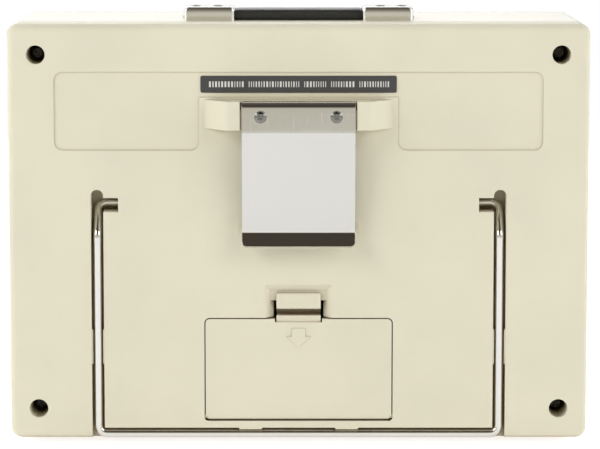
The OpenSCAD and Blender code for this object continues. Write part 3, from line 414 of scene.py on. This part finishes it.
def moulded(name, base, roughness, pitch, depth, radius=0.00025, wear=0.35,
            dust=0.25, cloud=0.035, gap=None, **sockets):
    """Injection-moulded plastic with grain, rubbed edges and dust; given a gap colour, painted
    shade in narrow gaps.
    """
    mat, tree, inputs = blank(name, roughness, **sockets)
    grain = use(tree, "moulded_grain", pitch=pitch)
    edge = use(tree, "edge_wear", radius=radius, amount=wear)
    dusty = use(tree, "settled_dust", amount=dust)
    body = tint(tree, grain["Cloud"], scaled(base, 1 - cloud),
                scaled(base, 1 + cloud * 0.5))
    rubbed = tint(tree, edge["Mask"], body,
                  tuple(c * 0.8 + 0.2 for c in base))
    # Painted shade: a given gap colour is mixed in where gaps are narrow, warm dark in place of
    # their shade.
    if gap:
        shade_in_gaps = use(tree, "painted_gap_shade", reach=0.003)
        rubbed = tint(tree, shade_in_gaps["Mask"], rubbed, gap)
    feed(tree, tint(tree, dusty["Mask"], rubbed, DUST),
         inputs["Base Color"])
    rough = ramp(tree, grain["Cloud"], 0.0, 1.0, roughness - 0.03,
                 roughness + 0.04)
    feed(tree, maths(tree, "SUBTRACT", rough, maths(
        tree, "MULTIPLY", edge["Mask"], 0.12)), inputs["Roughness"])
    bumped(tree, inputs, grain["Height"], depth, edge["Normal"])
    return mat


def bright_metal(name, base, roughness, radius=0.00015, marks=60.0,
                 depth=0.000002, line=0.00025, dark=0.55):
    """Plated or polished metal with smears, hairlines and worn edges."""
    mat, tree, inputs = blank(name, roughness, 1.0)
    edge = use(tree, "edge_wear", radius=radius, amount=0.5)
    hand = use(tree, "hand_marks", scale=marks)
    drawn = use(tree, "drawn_lines", pitch=line)
    worn = tint(tree, edge["Mask"], base, scaled(base, dark))
    feed(tree, tint(tree, maths(tree, "MULTIPLY", hand["Smear"], 0.10),
                    worn, scaled(base, 0.8)), inputs["Base Color"])
    rough = ramp(tree, hand["Smear"], 0.0, 1.0, roughness,
                 roughness + 0.06)
    feed(tree, maths(tree, "ADD", rough, maths(
        tree, "MULTIPLY", hand["Scratch"], 0.05)), inputs["Roughness"])
    bumped(tree, inputs, drawn["Height"], depth, edge["Normal"], 0.5)
    return mat


def woven_cloth(name, light, dark, pitch):
    """Two-colour grille cloth whose threads catch light differently."""
    mat, tree, inputs = blank(name, 0.85, Sheen_Weight=0.25,
                              Sheen_Roughness=0.5)
    weave = use(tree, "thread_weave", pitch=pitch)
    threads = tint(tree, weave["Warp"], dark, light)
    feed(tree, tint(tree, maths(tree, "MULTIPLY", weave["Fibre"], 0.5),
                    threads, scaled(dark, 0.5)), inputs["Base Color"])
    feed(tree, ramp(tree, weave["Warp"], 0, 1, 0.92, 0.70),
         inputs["Roughness"])
    bumped(tree, inputs, weave["Height"], 0.00012)
    return mat


def pebbled(name, base, roughness, pitch, depth):
    """Vinyl leather: cells, creases darkened with painted shade, shine where hands rub."""
    mat, tree, inputs = blank(name, roughness, Coat_Weight=0.15,
                              Coat_Roughness=0.3)
    cells = use(tree, "leather_cells", pitch=pitch)
    edge = use(tree, "edge_wear", radius=0.0004, amount=0.7)
    hand = use(tree, "hand_marks", scale=90.0)
    # Painted shade: the creases between the cells are darkened in the colour.
    painted_crease_shade = tint(tree, cells["Crease"], base, scaled(base, 0.35))
    feed(tree, tint(tree, edge["Mask"], painted_crease_shade, (0.05, 0.048, 0.045)),
         inputs["Base Color"])
    feed(tree, ramp(tree, hand["Smear"], 0, 1, roughness,
                    roughness + 0.12), inputs["Roughness"])
    bumped(tree, inputs, cells["Height"], depth, edge["Normal"])
    return mat


def printed(name, base, roughness=0.5):
    """Screen print: slightly uneven ink."""
    mat, tree, inputs = blank(name, roughness)
    grain = use(tree, "moulded_grain", pitch=0.0002)
    feed(tree, tint(tree, maths(tree, "MULTIPLY", grain["Height"], 0.3),
                    base, scaled(base, 0.7)), inputs["Base Color"])
    bumped(tree, inputs, grain["Height"], 0.00001)
    return mat


def wrapped_cell(name):
    """A block battery: dark sleeve with a warm band and bright caps."""
    mat, tree, inputs = blank(name, 0.35, Coat_Weight=0.3)
    lo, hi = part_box("battery")
    band_share, cap_long = 0.66, 2.4 * MM
    place = put(tree, "ShaderNodeSeparateXYZ", {0: object_space(tree)})
    across = place.outputs["X"]
    band = maths(tree, "GREATER_THAN", across,
                 lo.x + (hi.x - lo.x) * band_share)
    caps = maths(tree, "GREATER_THAN", across, hi.x - cap_long)
    hand = use(tree, "hand_marks", scale=50.0)
    sleeve = tint(tree, band, (0.012, 0.014, 0.02), (0.42, 0.20, 0.07))
    feed(tree, tint(tree, caps, sleeve, (0.7, 0.7, 0.7)),
         inputs["Base Color"])
    feed(tree, maths(tree, "MAXIMUM", caps, maths(
        tree, "MULTIPLY", band, 0.6)), inputs["Metallic"])
    feed(tree, ramp(tree, hand["Smear"], 0, 1, 0.28, 0.42),
         inputs["Roughness"])
    bumped(tree, inputs, hand["Scratch"], 0.000004)
    return mat


def circuit_board(name):
    """Green solder mask over copper tracks."""
    mat, tree, inputs = blank(name, 0.35, Coat_Weight=0.3)
    place = object_space(tree)
    cells = put(tree, "ShaderNodeTexVoronoi", {
        "Vector": place, "Scale": 260.0}, distance="CHEBYCHEV",
        feature="F1")
    track = ramp(tree, cells.outputs["Distance"], 0.38, 0.42)
    feed(tree, tint(tree, track, (0.015, 0.10, 0.045),
                    (0.03, 0.17, 0.07)), inputs["Base Color"])
    bumped(tree, inputs, track, 0.00003)
    return mat


# --- piece helpers --------------------------------------------------------


def clad(mat, *names):
    """Gives CAD nodes a finish."""
    for name in names:
        slots = NODES[name].material_slots
        for s in slots:
            s.material = mat
        if not slots:
            NODES[name].data.materials.append(mat)


def piece(name, verts, faces, mat, body, smooth=True, stands_for=()):
    """A new mesh piece, in place, riding on its body."""
    mesh = bpy.data.meshes.new(name)
    mesh.from_pydata([tuple(v) for v in verts], [], faces)
    mesh.update()
    mesh.materials.append(mat)
    for face in mesh.polygons:
        face.use_smooth = smooth
    obj = bpy.data.objects.new(name, mesh)
    bpy.context.scene.collection.objects.link(obj)
    if stands_for:
        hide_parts(*stands_for)
    if body:
        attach(obj, body)
    return obj


def boxes_mesh(boxes):
    """Verts and faces of many separate boxes, each (low, high)."""
    verts, faces = [], []
    for lo, hi in boxes:
        n = len(verts)
        verts += [Vector((x, y, z)) for x in (lo[0], hi[0])
                  for y in (lo[1], hi[1]) for z in (lo[2], hi[2])]
        faces += [[n + i for i in f] for f in (
            (0, 1, 3, 2), (4, 6, 7, 5), (0, 4, 5, 1), (2, 3, 7, 6),
            (0, 2, 6, 4), (1, 5, 7, 3))]
    return verts, faces


def fillet_path(points, radius, steps):
    """Round the inner corners of a 2D path."""
    out = [points[0]]
    for a, b, c in zip(points, points[1:], points[2:]):
        u, v = (b - a).normalized(), (c - b).normalized()
        half = math.acos(max(-1, min(1, u.dot(v)))) / 2
        trim = radius * math.tan(half)
        side = (v - u * v.dot(u)).normalized()
        centre = b - u * trim + side * radius
        for i in range(steps + 1):
            turn = 2 * half * i / steps
            out.append(centre - side * radius * math.cos(turn)
                       + u * radius * math.sin(turn))
    out.append(points[-1])
    return out


def subdivide(path, longest):
    out = [path[0]]
    for a, b in zip(path, path[1:]):
        n = max(1, math.ceil((b - a).length / longest))
        out += [a.lerp(b, (i + 1) / n) for i in range(n)]
    return out


# --- operators ------------------------------------------------------------


class AMP_OT_stage(bpy.types.Operator):
    """Floor, soft studio light and the camera."""

    bl_idname = "amp.stage"
    bl_label = "Stage"

    def execute(self, context):
        stage = settings()[2]
        scene = context.scene
        scene.view_settings.view_transform = "Standard"
        self.world(scene)
        self.floor()
        key, fill = stage.key, stage.fill
        self.soft_box("key_left", (1.25, 0.95, 1.0), (0.9, 0.9), key)
        self.soft_box("key_right", (-1.25, 0.95, 0.9), (0.9, 0.9),
                      key * 0.75)
        self.soft_box("left_fill", (1.4, 0.1, 0.4), (0.8, 0.7), fill)
        self.soft_box("right_fill", (-1.4, 0.1, 0.4), (0.8, 0.7), fill)
        self.soft_box("top_left", (0.8, -0.5, 1.3), (0.7, 0.9), key * 0.3)
        self.soft_box("top_right", (-0.8, -0.5, 1.3), (0.7, 0.9),
                      key * 0.3)
        self.soft_box("front_fill", (0.3, -1.4, 0.8), (1.2, 0.8),
                      key * 0.6)
        data = bpy.data.cameras.new("camera")
        data.lens = stage.lens
        data.clip_end = 20
        cam = bpy.data.objects.new("camera", data)
        scene.collection.objects.link(cam)
        cam.location = (0, REAR_Y + stage.back, FLOOR_TO_BODY + stage.high)
        target = Vector((-0.0004, REAR_Y, FLOOR_TO_BODY + stage.aim))
        cam.rotation_euler = (target - cam.location).to_track_quat(
            "-Z", "Y").to_euler()
        scene.camera = cam
        return {"FINISHED"}

    def world(self, scene):
        """White to look at; pale below and dark brown overhead."""
        scene.world = bpy.data.worlds.new("studio")
        scene.world.use_nodes = True
        tree = scene.world.node_tree
        way = put(tree, "ShaderNodeTexCoord").outputs["Generated"]
        height = put(tree, "ShaderNodeSeparateXYZ", {0: way}).outputs["Z"]
        bands = put(tree, "ShaderNodeValToRGB",
                    {0: ramp(tree, height, -1.0, 1.0)})
        stops = ((0.0, (0.95, 0.95, 0.94)), (0.48, (0.95, 0.95, 0.93)),
                 (0.58, (0.93, 0.93, 0.91)), (0.68, (0.34, 0.32, 0.29)),
                 (0.80, (0.075, 0.065, 0.055)), (1.0, (0.11, 0.10, 0.09)))
        line = bands.color_ramp
        while len(line.elements) < len(stops):
            line.elements.new(0.5)
        for element, (at, shade) in zip(line.elements, stops):
            element.position = at
            element.color = (*shade, 1.0)
        front = ramp(tree, put(tree, "ShaderNodeSeparateXYZ",
                               {0: way}).outputs["Y"], 0.2, 0.6)
        room = tint(tree, front, bands.outputs["Color"],
                    (0.68, 0.66, 0.57), "MULTIPLY")
        seen = put(tree, "ShaderNodeLightPath").outputs["Is Camera Ray"]
        shown = tint(tree, seen, room, (1.0, 1.0, 1.0))
        back = tree.nodes["Background"]
        feed(tree, shown, back.inputs["Color"])
        back.inputs["Strength"].default_value = 1.0

    def floor(self):
        """A plain pale round floor."""
        count, radius = 96, 0.9
        ring = [(radius * math.cos(2 * math.pi * i / count),
                 radius * math.sin(2 * math.pi * i / count), 0)
                for i in range(count)]
        mesh = bpy.data.meshes.new("floor")
        mesh.from_pydata(ring, [], [list(range(count))])
        obj = bpy.data.objects.new("floor", mesh)
        bpy.context.scene.collection.objects.link(obj)
        mat, tree, inputs = blank("pale_floor", 0.9)
        inputs["Specular IOR Level"].default_value = 0.2
        seen = put(tree, "ShaderNodeLightPath").outputs["Is Camera Ray"]
        feed(tree, ramp(tree, seen, 0, 1, 0.25, 0.75),
             inputs["Emission Strength"])
        speck = noise(tree, object_space(tree), 300.0)
        feed(tree, tint(tree, maths(tree, "MULTIPLY", speck, 0.1),
                        (0.93, 0.93, 0.93), (0.88, 0.88, 0.87)),
             inputs["Base Color"])
        mesh.materials.append(mat)

    def soft_box(self, name, place, size, power):
        data = bpy.data.lights.new(name, "AREA")
        data.shape = "RECTANGLE"
        data.size, data.size_y = size
        data.energy = power
        obj = bpy.data.objects.new(name, data)
        bpy.context.scene.collection.objects.link(obj)
        obj.location = place
        aim = Vector((0, 0, 0.06)) - obj.location
        obj.rotation_euler = aim.to_track_quat("-Z", "Y").to_euler()


class AMP_OT_housing(bpy.types.Operator):
    """Cream plastic of the cover, shell, frame, door and latch; feet."""

    bl_idname = "amp.housing"
    bl_label = "Housing"

    def execute(self, context):
        tones, sizes, _ = settings()
        cream = tuple(tones.cream)
        # Painted shade for the narrow gaps of the rear cover and the door.
        shade_in_gaps = tuple(tones.gap)
        rear = moulded("cream_rear", cream, 0.52, sizes.grain, 0.000012,
                       0.0003, gap=shade_in_gaps)
        shell = moulded("cream_shell", cream, 0.34, sizes.grain * 1.3,
                        0.000006, 0.0003, Coat_Weight=0.45,
                        Coat_Roughness=0.12)
        door = moulded("cream_door", scaled(cream, 0.995), 0.50,
                       sizes.grain, 0.000012, 0.0002, gap=shade_in_gaps)
        clad(rear, "rear_cover")
        clad(shell, "cabinet_shell", "front_frame")
        clad(door, "battery_door", "door_latch")
        clad(moulded("foot_rubber", (0.02, 0.02, 0.02), 0.75, 0.0004,
                     0.00003, 0.0003, 0.2, 0.4), "rubber_feet")
        return {"FINISHED"}


class AMP_OT_label(bpy.types.Operator):
    """Dark film label with plain printed bars."""

    bl_idname = "amp.label"
    bl_label = "Label"

    def execute(self, context):
        tones, sizes, _ = settings()
        clad(moulded("label_film", tuple(tones.label), 0.42, 0.00025,
                     0.000004, 0.0001, 0.2, 0.1), "rating_label")
        lo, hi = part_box("rating_label")
        middle = (lo.z + hi.z) / 2
        tall = (hi.z - lo.z) * 0.17
        start, stop = hi.x - 2.4 * MM, lo.x + 1.8 * MM
        groups = (12, 20, 9, 9, 14)
        widths = (0.22, 0.35, 0.5)
        bar_gap, group_gap = 0.42 * MM, 1.0 * MM
        pick = random.Random(5)
        bars, x = [], start
        for count in groups:
            for _ in range(count):
                wide = pick.choice(widths) * MM
                if x - wide < stop:
                    break
                bars.append(((x - wide, hi.y - PRINT_SUNK, middle - tall),
                             (x, hi.y + sizes.print_high, middle + tall)))
                x -= wide + bar_gap
            x -= group_gap
        verts, faces = boxes_mesh(bars)
        piece("label_print", verts, faces,
              printed("label_ink", tuple(tones.print_white)), "case",
              smooth=False)
        return {"FINISHED"}


class AMP_OT_bail(bpy.types.Operator):
    """Chromed wire of the tilt-back bail."""

    bl_idname = "amp.bail"
    bl_label = "Bail"

    def execute(self, context):
        base = tuple(settings()[0].chrome)
        clad(bright_metal("bail_chrome", base, 0.10, marks=80.0), "bail")
        return {"FINISHED"}


class AMP_OT_clip(bpy.types.Operator):
    """Belt clip: one sheet, bent below its strip at the clip's flex point; screws."""

    bl_idname = "amp.clip"
    bl_label = "Belt clip"

    ROLL = 1.5 * MM  # radius of the rolled top edge, at mid-sheet
    ROLL_STEPS = 8
    BEND = 1.0 * MM  # radius of the other bends
    BEND_STEPS = 6
    ROW_LONG = 1.2 * MM
    END_ROWS = 8
    CORNER = 1.3 * MM  # rounding of the lower corners
    COLUMNS = 24

    def execute(self, context):
        tones, sizes, _ = settings()
        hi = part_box("belt_clip_strip")[1]
        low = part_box("belt_clip_tongue")[0].z
        flex = JOINTS["clip_flex"]
        path = self.side_path(sizes, hi, low, flex)
        verts, faces = self.sheet(path, sizes.sheet / 2, hi.x)
        mat = bright_metal("clip_chrome_sheet",
                           scaled(tuple(tones.chrome), 0.88), 0.05,
                           marks=35.0, depth=0.0000008)
        obj = piece("belt_clip_sheet", verts, faces, mat, None,
                    stands_for=("belt_clip_strip", "belt_clip_tongue"))
        obj.data.set_sharp_from_angle(angle=math.radians(40))
        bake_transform(obj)
        clad(bright_metal("screw_bright", (0.26, 0.26, 0.245), 0.16,
                          marks=200.0), "clip_screws", "handle_screws")
        clad(bright_metal("screw_zinc", (0.55, 0.55, 0.55), 0.3,
                          marks=200.0), "tray_screws", "speaker_screws")
        clad(bright_metal("screw_black", (0.05, 0.045, 0.04), 0.35,
                          marks=200.0, dark=2.5), "case_screws")
        return {"FINISHED"}

    def roll_turn(self, step):
        return math.pi / 2 * step / self.ROLL_STEPS

    def side_path(self, sizes, hi, low, flex):
        """Mid-sheet line as (y, z), from the rolled top to the lip."""
        half = sizes.sheet / 2
        outer = hi.y - half
        top = [Vector((
            outer - self.ROLL + self.ROLL * math.sin(self.roll_turn(i)),
            hi.z - half - self.ROLL
            + self.ROLL * math.cos(self.roll_turn(i))))
            for i in range(self.ROLL_STEPS + 1)]
        crease = Vector((REAR_Y + sizes.inset, low + sizes.crease))
        end = Vector((REAR_Y + sizes.lip, low))
        path = top[:-1] + fillet_path(
            [top[-1], Vector((flex.y, flex.z)), crease, end],
            self.BEND, self.BEND_STEPS)
        path = subdivide(path, self.ROW_LONG)
        return path[:-1] + [path[-2].lerp(path[-1], k / self.END_ROWS)
                            for k in range(1, self.END_ROWS + 1)]

    def sheet(self, path, half, wide):
        """Verts and faces of a sheet along the path, lower corners round."""
        to_end, total = [0.0], 0.0
        for a, b in zip(path[::-1], path[::-1][1:]):
            total += (a - b).length
            to_end.append(total)
        to_end.reverse()
        per = self.COLUMNS + 1
        outer, inner = [], []
        for i, p in enumerate(path):
            if i < self.ROLL_STEPS:
                away = Vector((math.sin(self.roll_turn(i)),
                               math.cos(self.roll_turn(i))))
            else:
                along = (path[min(i + 1, len(path) - 1)]
                         - path[i - 1]).normalized()
                away = Vector((-along.y, along.x))
                if away.x < 0:
                    away = -away
            d = min(to_end[i], self.CORNER)
            w = wide - self.CORNER + math.sqrt(
                max(0.0, self.CORNER ** 2 - (self.CORNER - d) ** 2))
            for layer, sign in ((outer, 1), (inner, -1)):
                s = p + away * half * sign
                layer += [Vector((w * (2 * c / self.COLUMNS - 1), s.x, s.y))
                          for c in range(per)]

        def at(layer, i, c):
            return (layer * len(path) + i) * per + c

        faces = []
        for i in range(len(path) - 1):
            for c in range(self.COLUMNS):
                faces.append([at(0, i, c), at(0, i + 1, c),
                              at(0, i + 1, c + 1), at(0, i, c + 1)])
                faces.append([at(1, i, c), at(1, i, c + 1),
                              at(1, i + 1, c + 1), at(1, i + 1, c)])
            for c, flip in ((0, False), (self.COLUMNS, True)):
                f = [at(0, i, c), at(1, i, c), at(1, i + 1, c),
                     at(0, i + 1, c)]
                faces.append(f[::-1] if flip else f)
        for i, flip in ((0, True), (len(path) - 1, False)):
            for c in range(self.COLUMNS):
                f = [at(0, i, c), at(1, i, c), at(1, i, c + 1),
                     at(0, i, c + 1)]
                faces.append(f if flip else f[::-1])
        return outer + inner, faces


class AMP_OT_handle(bpy.types.Operator):
    """Vinyl strap with pressed edge lines, and its chrome caps."""

    bl_idname = "amp.handle"
    bl_label = "Handle"

    def execute(self, context):
        tones = settings()[0]
        lo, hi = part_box("handle_strap")
        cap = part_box("handle_cap_l")
        mid_y = (lo.y + hi.y) / 2
        inner = cap[0].x + 0.4 * MM
        half_w, full_t = (hi.y - lo.y) / 2, hi.z - lo.z
        rows, ring = 72, 40
        taper, thinner, narrower = 0.8 * MM, 0.25 * MM, 0.3 * MM
        # powers of the section's superellipse, across and up
        square_y, square_z = 0.28, 0.42
        line_at, line_wide, line_deep = 0.80, 0.035, 0.16 * MM
        verts, faces = [], []
        for i in range(rows + 1):
            x = lo.x + (hi.x - lo.x) * i / rows
            tucked = min(1.0, max(0.0, (abs(x) - inner + taper) / taper))
            w = half_w - narrower * tucked
            t = full_t - thinner * tucked
            for k in range(ring):
                a = 2 * math.pi * k / ring
                c, s = math.cos(a), math.sin(a)
                y = w * math.copysign(abs(c) ** square_y, c)
                z = t / 2 * math.copysign(abs(s) ** square_z, s)
                if s > 0.2:
                    off = (abs(y) / w - line_at) / line_wide
                    z -= line_deep * math.exp(-off ** 2)
                verts.append(Vector((x, mid_y + y, lo.z + t / 2 + z)))
        for i in range(rows):
            for k in range(ring):
                a, b = i * ring + k, i * ring + (k + 1) % ring
                faces.append([a, b, b + ring, a + ring])
        faces.append(list(range(ring))[::-1])
        faces.append([rows * ring + k for k in range(ring)])
        strap = pebbled("strap_vinyl", tuple(tones.strap), 0.42, 0.0007,
                        0.00005)
        piece("strap_vinyl", verts, faces, strap, "case",
              stands_for=("handle_strap",))
        clad(bright_metal("cap_chrome", tuple(tones.chrome), 0.07,
                          0.00025, marks=70.0), "handle_cap_l",
             "handle_cap_r")
        return {"FINISHED"}


class AMP_OT_grille(bpy.types.Operator):
    """Woven grille cloth stretched over its frame."""

    bl_idname = "amp.grille"
    bl_label = "Grille"

    def execute(self, context):
        tones, sizes, _ = settings()
        lo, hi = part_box("grille_cloth")
        pitch, relief = sizes.weave, sizes.relief
        steps_per_thread = 4
        nx = round((hi.x - lo.x) / pitch) * steps_per_thread
        nz = round((hi.z - lo.z) / pitch) * steps_per_thread
        verts, faces = [], []
        for i in range(nx + 1):
            x = lo.x + (hi.x - lo.x) * i / nx
            for k in range(nz + 1):
                z = lo.z + (hi.z - lo.z) * k / nz
                over = (math.sin(math.pi * x / pitch)
                        * math.sin(math.pi * z / pitch))
                verts.append(Vector((x, lo.y + relief
                                     - relief * abs(over), z)))
        for i in range(nx):
            for k in range(nz):
                a = i * (nz + 1) + k
                faces.append([a, a + nz + 1, a + nz + 2, a + 1])
        mat = woven_cloth("grille_cloth_threads",
                          tuple(tones.cloth_light),
                          tuple(tones.cloth_dark), pitch)
        obj = piece("grille_cloth_weave", verts, faces, mat, "case",
                    stands_for=("grille_cloth",))
        clad(moulded("frame_plastic", (0.02, 0.02, 0.02), 0.5, 0.0004,
                     0.00001), "grille_frame")
        return {"FINISHED"}


class AMP_OT_speakers(bpy.types.Operator):
    """Baffle and loudspeakers behind the cloth."""

    bl_idname = "amp.speakers"
    bl_label = "Loudspeakers"

    def execute(self, context):
        clad(moulded("baffle_board", (0.02, 0.019, 0.018), 0.8, 0.0008,
                     0.00006), "baffle")
        finishes = {
            "basket": moulded("basket_paint", (0.03, 0.03, 0.032), 0.35,
                              0.0006, 0.00001),
            "surround": moulded("surround_rubber",
                                (0.012, 0.012, 0.012), 0.6, 0.0003,
                                0.00002),
            "cone": pebbled("cone_pulp", (0.022, 0.021, 0.02), 0.85,
                            0.0009, 0.00006),
            "magnet": bright_metal("magnet_iron", (0.12, 0.12, 0.12), 0.5,
                                   marks=120.0),
        }
        for part, finish in finishes.items():
            clad(finish, f"speaker_{part}_l", f"speaker_{part}_r")
        return {"FINISHED"}


class AMP_OT_controls(bpy.types.Operator):
    """Control panel with its print, knobs, jacks, lamp and board."""

    bl_idname = "amp.controls"
    bl_label = "Controls"

    def execute(self, context):
        tones, sizes, _ = settings()
        clad(self.panel(tuple(tones.panel)), "control_panel")
        knob = moulded("knob_moulding", tuple(tones.knob), 0.28, 0.0003,
                       0.000004, 0.0002, 0.4, 0.3, Coat_Weight=0.3)
        ink = printed("panel_ink", (0.75, 0.70, 0.60))
        marks = []
        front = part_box("control_panel")[0].y
        for name in ("gain", "tone", "volume"):
            node = "knob_" + name
            clad(knob, node)
            lo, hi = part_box(node)
            x, z = (lo.x + hi.x) / 2, (lo.z + hi.z) / 2
            radius = (hi.x - lo.x) / 2
            marks += self.dial(x, z, radius)
            half, inset = 0.3 * MM, 2.0 * MM
            verts, faces = boxes_mesh([(
                (x - half, lo.y + 0.12 * MM, z + 1.6 * MM),
                (x + half, lo.y + 0.36 * MM, z + radius - inset))])
            piece("pointer_" + name, verts, faces, ink, name,
                  smooth=False)
        verts, faces = self.bars(marks, front, sizes.print_high)
        piece("panel_print", verts, faces, ink, "case",
              smooth=False)
        metal = bright_metal("nut_chrome", (0.70, 0.69, 0.67), 0.16,
                             marks=150.0)
        clad(metal, "pot_nuts", "jack_nuts")
        clad(bright_metal("pot_steel", (0.5, 0.5, 0.5), 0.35,
                          marks=100.0), "pot_gain", "pot_tone",
             "pot_volume")
        clad(moulded("jack_plastic", (0.02, 0.02, 0.02), 0.35, 0.0004,
                     0.000006), "input_jack", "headphone_jack")
        clad(circuit_board("board_mask"), "main_board")
        clad(moulded("chip_plastic", (0.02, 0.02, 0.02), 0.6, 0.0002,
                     0.00001), "board_chips")
        clad(self.lamp(), "power_led")
        return {"FINISHED"}

    def panel(self, base):
        mat, tree, inputs = blank("panel_paint", 0.35, 0.85)
        drawn = use(tree, "drawn_lines", pitch=0.00012)
        edge = use(tree, "edge_wear", radius=0.0002, amount=0.5)
        tone = tint(tree, drawn["Height"], scaled(base, 0.85),
                    scaled(base, 1.15))
        feed(tree, tint(tree, edge["Mask"], tone, scaled(base, 1.6)),
             inputs["Base Color"])
        bumped(tree, inputs, drawn["Height"], 0.000006, edge["Normal"])
        return mat

    def lamp(self):
        mat, tree, inputs = blank("lamp_lens", 0.12, Coat_Weight=0.5,
                                  Emission_Strength=0.6)
        cloud = noise(tree, object_space(tree), 900.0)
        red = tint(tree, cloud, (0.60, 0.015, 0.01), (0.75, 0.04, 0.02))
        feed(tree, red, inputs["Base Color"])
        feed(tree, red, inputs["Emission Color"])
        return mat

    def dial(self, x, z, radius):
        """Ticks round a knob, as (x, z, angle, length)."""
        count, first, step = 11, 240, 30
        gap, short, long = 1.3 * MM, 1.2 * MM, 1.9 * MM
        ticks = []
        for i in range(count):
            a = math.radians(first - step * i)
            r = radius + gap
            ticks.append((x + r * math.cos(a), z + r * math.sin(a), a,
                          short if i % 5 else long))
        return ticks

    def bars(self, marks, front, high):
        """Verts and faces of the ticks, as thin bars on the panel."""
        half = 0.16 * MM
        verts, faces = [], []
        for x, z, a, long in marks:
            along = Vector((math.cos(a), 0, math.sin(a)))
            side = Vector((-math.sin(a), 0, math.cos(a))) * half
            n = len(verts)
            for y in (front + PRINT_SUNK, front - high):
                base = Vector((x, y, z))
                verts += [base - side, base + side,
                          base + along * long + side,
                          base + along * long - side]
            faces += [[n + i for i in f] for f in (
                (0, 1, 2, 3), (7, 6, 5, 4), (0, 4, 5, 1), (1, 5, 6, 2),
                (2, 6, 7, 3), (3, 7, 4, 0))]
        return verts, faces


class AMP_OT_inside(bpy.types.Operator):
    """Battery, its tray, snap and leads."""

    bl_idname = "amp.inside"
    bl_label = "Inside"

    def execute(self, context):
        clad(moulded("tray_plastic", (0.03, 0.03, 0.03), 0.5, 0.0005,
                     0.00001), "battery_tray")
        clad(wrapped_cell("battery_sleeve"), "battery")
        clad(moulded("snap_vinyl", (0.015, 0.015, 0.015), 0.5, 0.0003,
                     0.00001), "battery_snap")
        clad(moulded("lead_red_vinyl", (0.35, 0.02, 0.015), 0.4, 0.0003,
                     0.000005), "battery_leads")
        clad(moulded("lead_blue_vinyl", (0.02, 0.04, 0.25), 0.4, 0.0003,
                     0.000005), "speaker_leads")
        return {"FINISHED"}


class AMP_PT_looks(bpy.types.Panel):
    """Sidebar panel that lists the pieces."""

    bl_label = "Amplifier"
    bl_idname = "AMP_PT_looks"
    bl_space_type = "VIEW_3D"
    bl_region_type = "UI"
    bl_category = "Amplifier"

    def draw(self, context):
        layout = self.layout
        for group in (context.scene.amp_colours, context.scene.amp_sizes,
                      context.scene.amp_stage):
            box = layout.box()
            for name in group.__annotations__:
                box.prop(group, name)
        for operator in OPERATORS:
            layout.operator(operator.bl_idname)


OPERATORS = (AMP_OT_stage, AMP_OT_housing, AMP_OT_label, AMP_OT_bail,
             AMP_OT_clip, AMP_OT_handle, AMP_OT_grille, AMP_OT_speakers,
             AMP_OT_controls, AMP_OT_inside)
GROUPS = {"amp_colours": AmpColours, "amp_sizes": AmpSizes,
          "amp_stage": AmpStage}
CLASSES = (*GROUPS.values(), *OPERATORS, AMP_PT_looks)


def register():
    for cls in CLASSES:
        bpy.utils.register_class(cls)
    for name, cls in GROUPS.items():
        setattr(bpy.types.Scene, name, PointerProperty(type=cls))


def unregister():
    for name in GROUPS:
        delattr(bpy.types.Scene, name)
    for cls in reversed(CLASSES):
        bpy.utils.unregister_class(cls)


def main():
    register()
    build_effects()
    bpy.ops.amp.stage()
    bpy.ops.amp.housing()
    bpy.ops.amp.label()
    bpy.ops.amp.bail()
    bpy.ops.amp.clip()
    bpy.ops.amp.handle()
    bpy.ops.amp.grille()
    bpy.ops.amp.speakers()
    bpy.ops.amp.controls()
    bpy.ops.amp.inside()


if __name__ == "__main__":
    main()
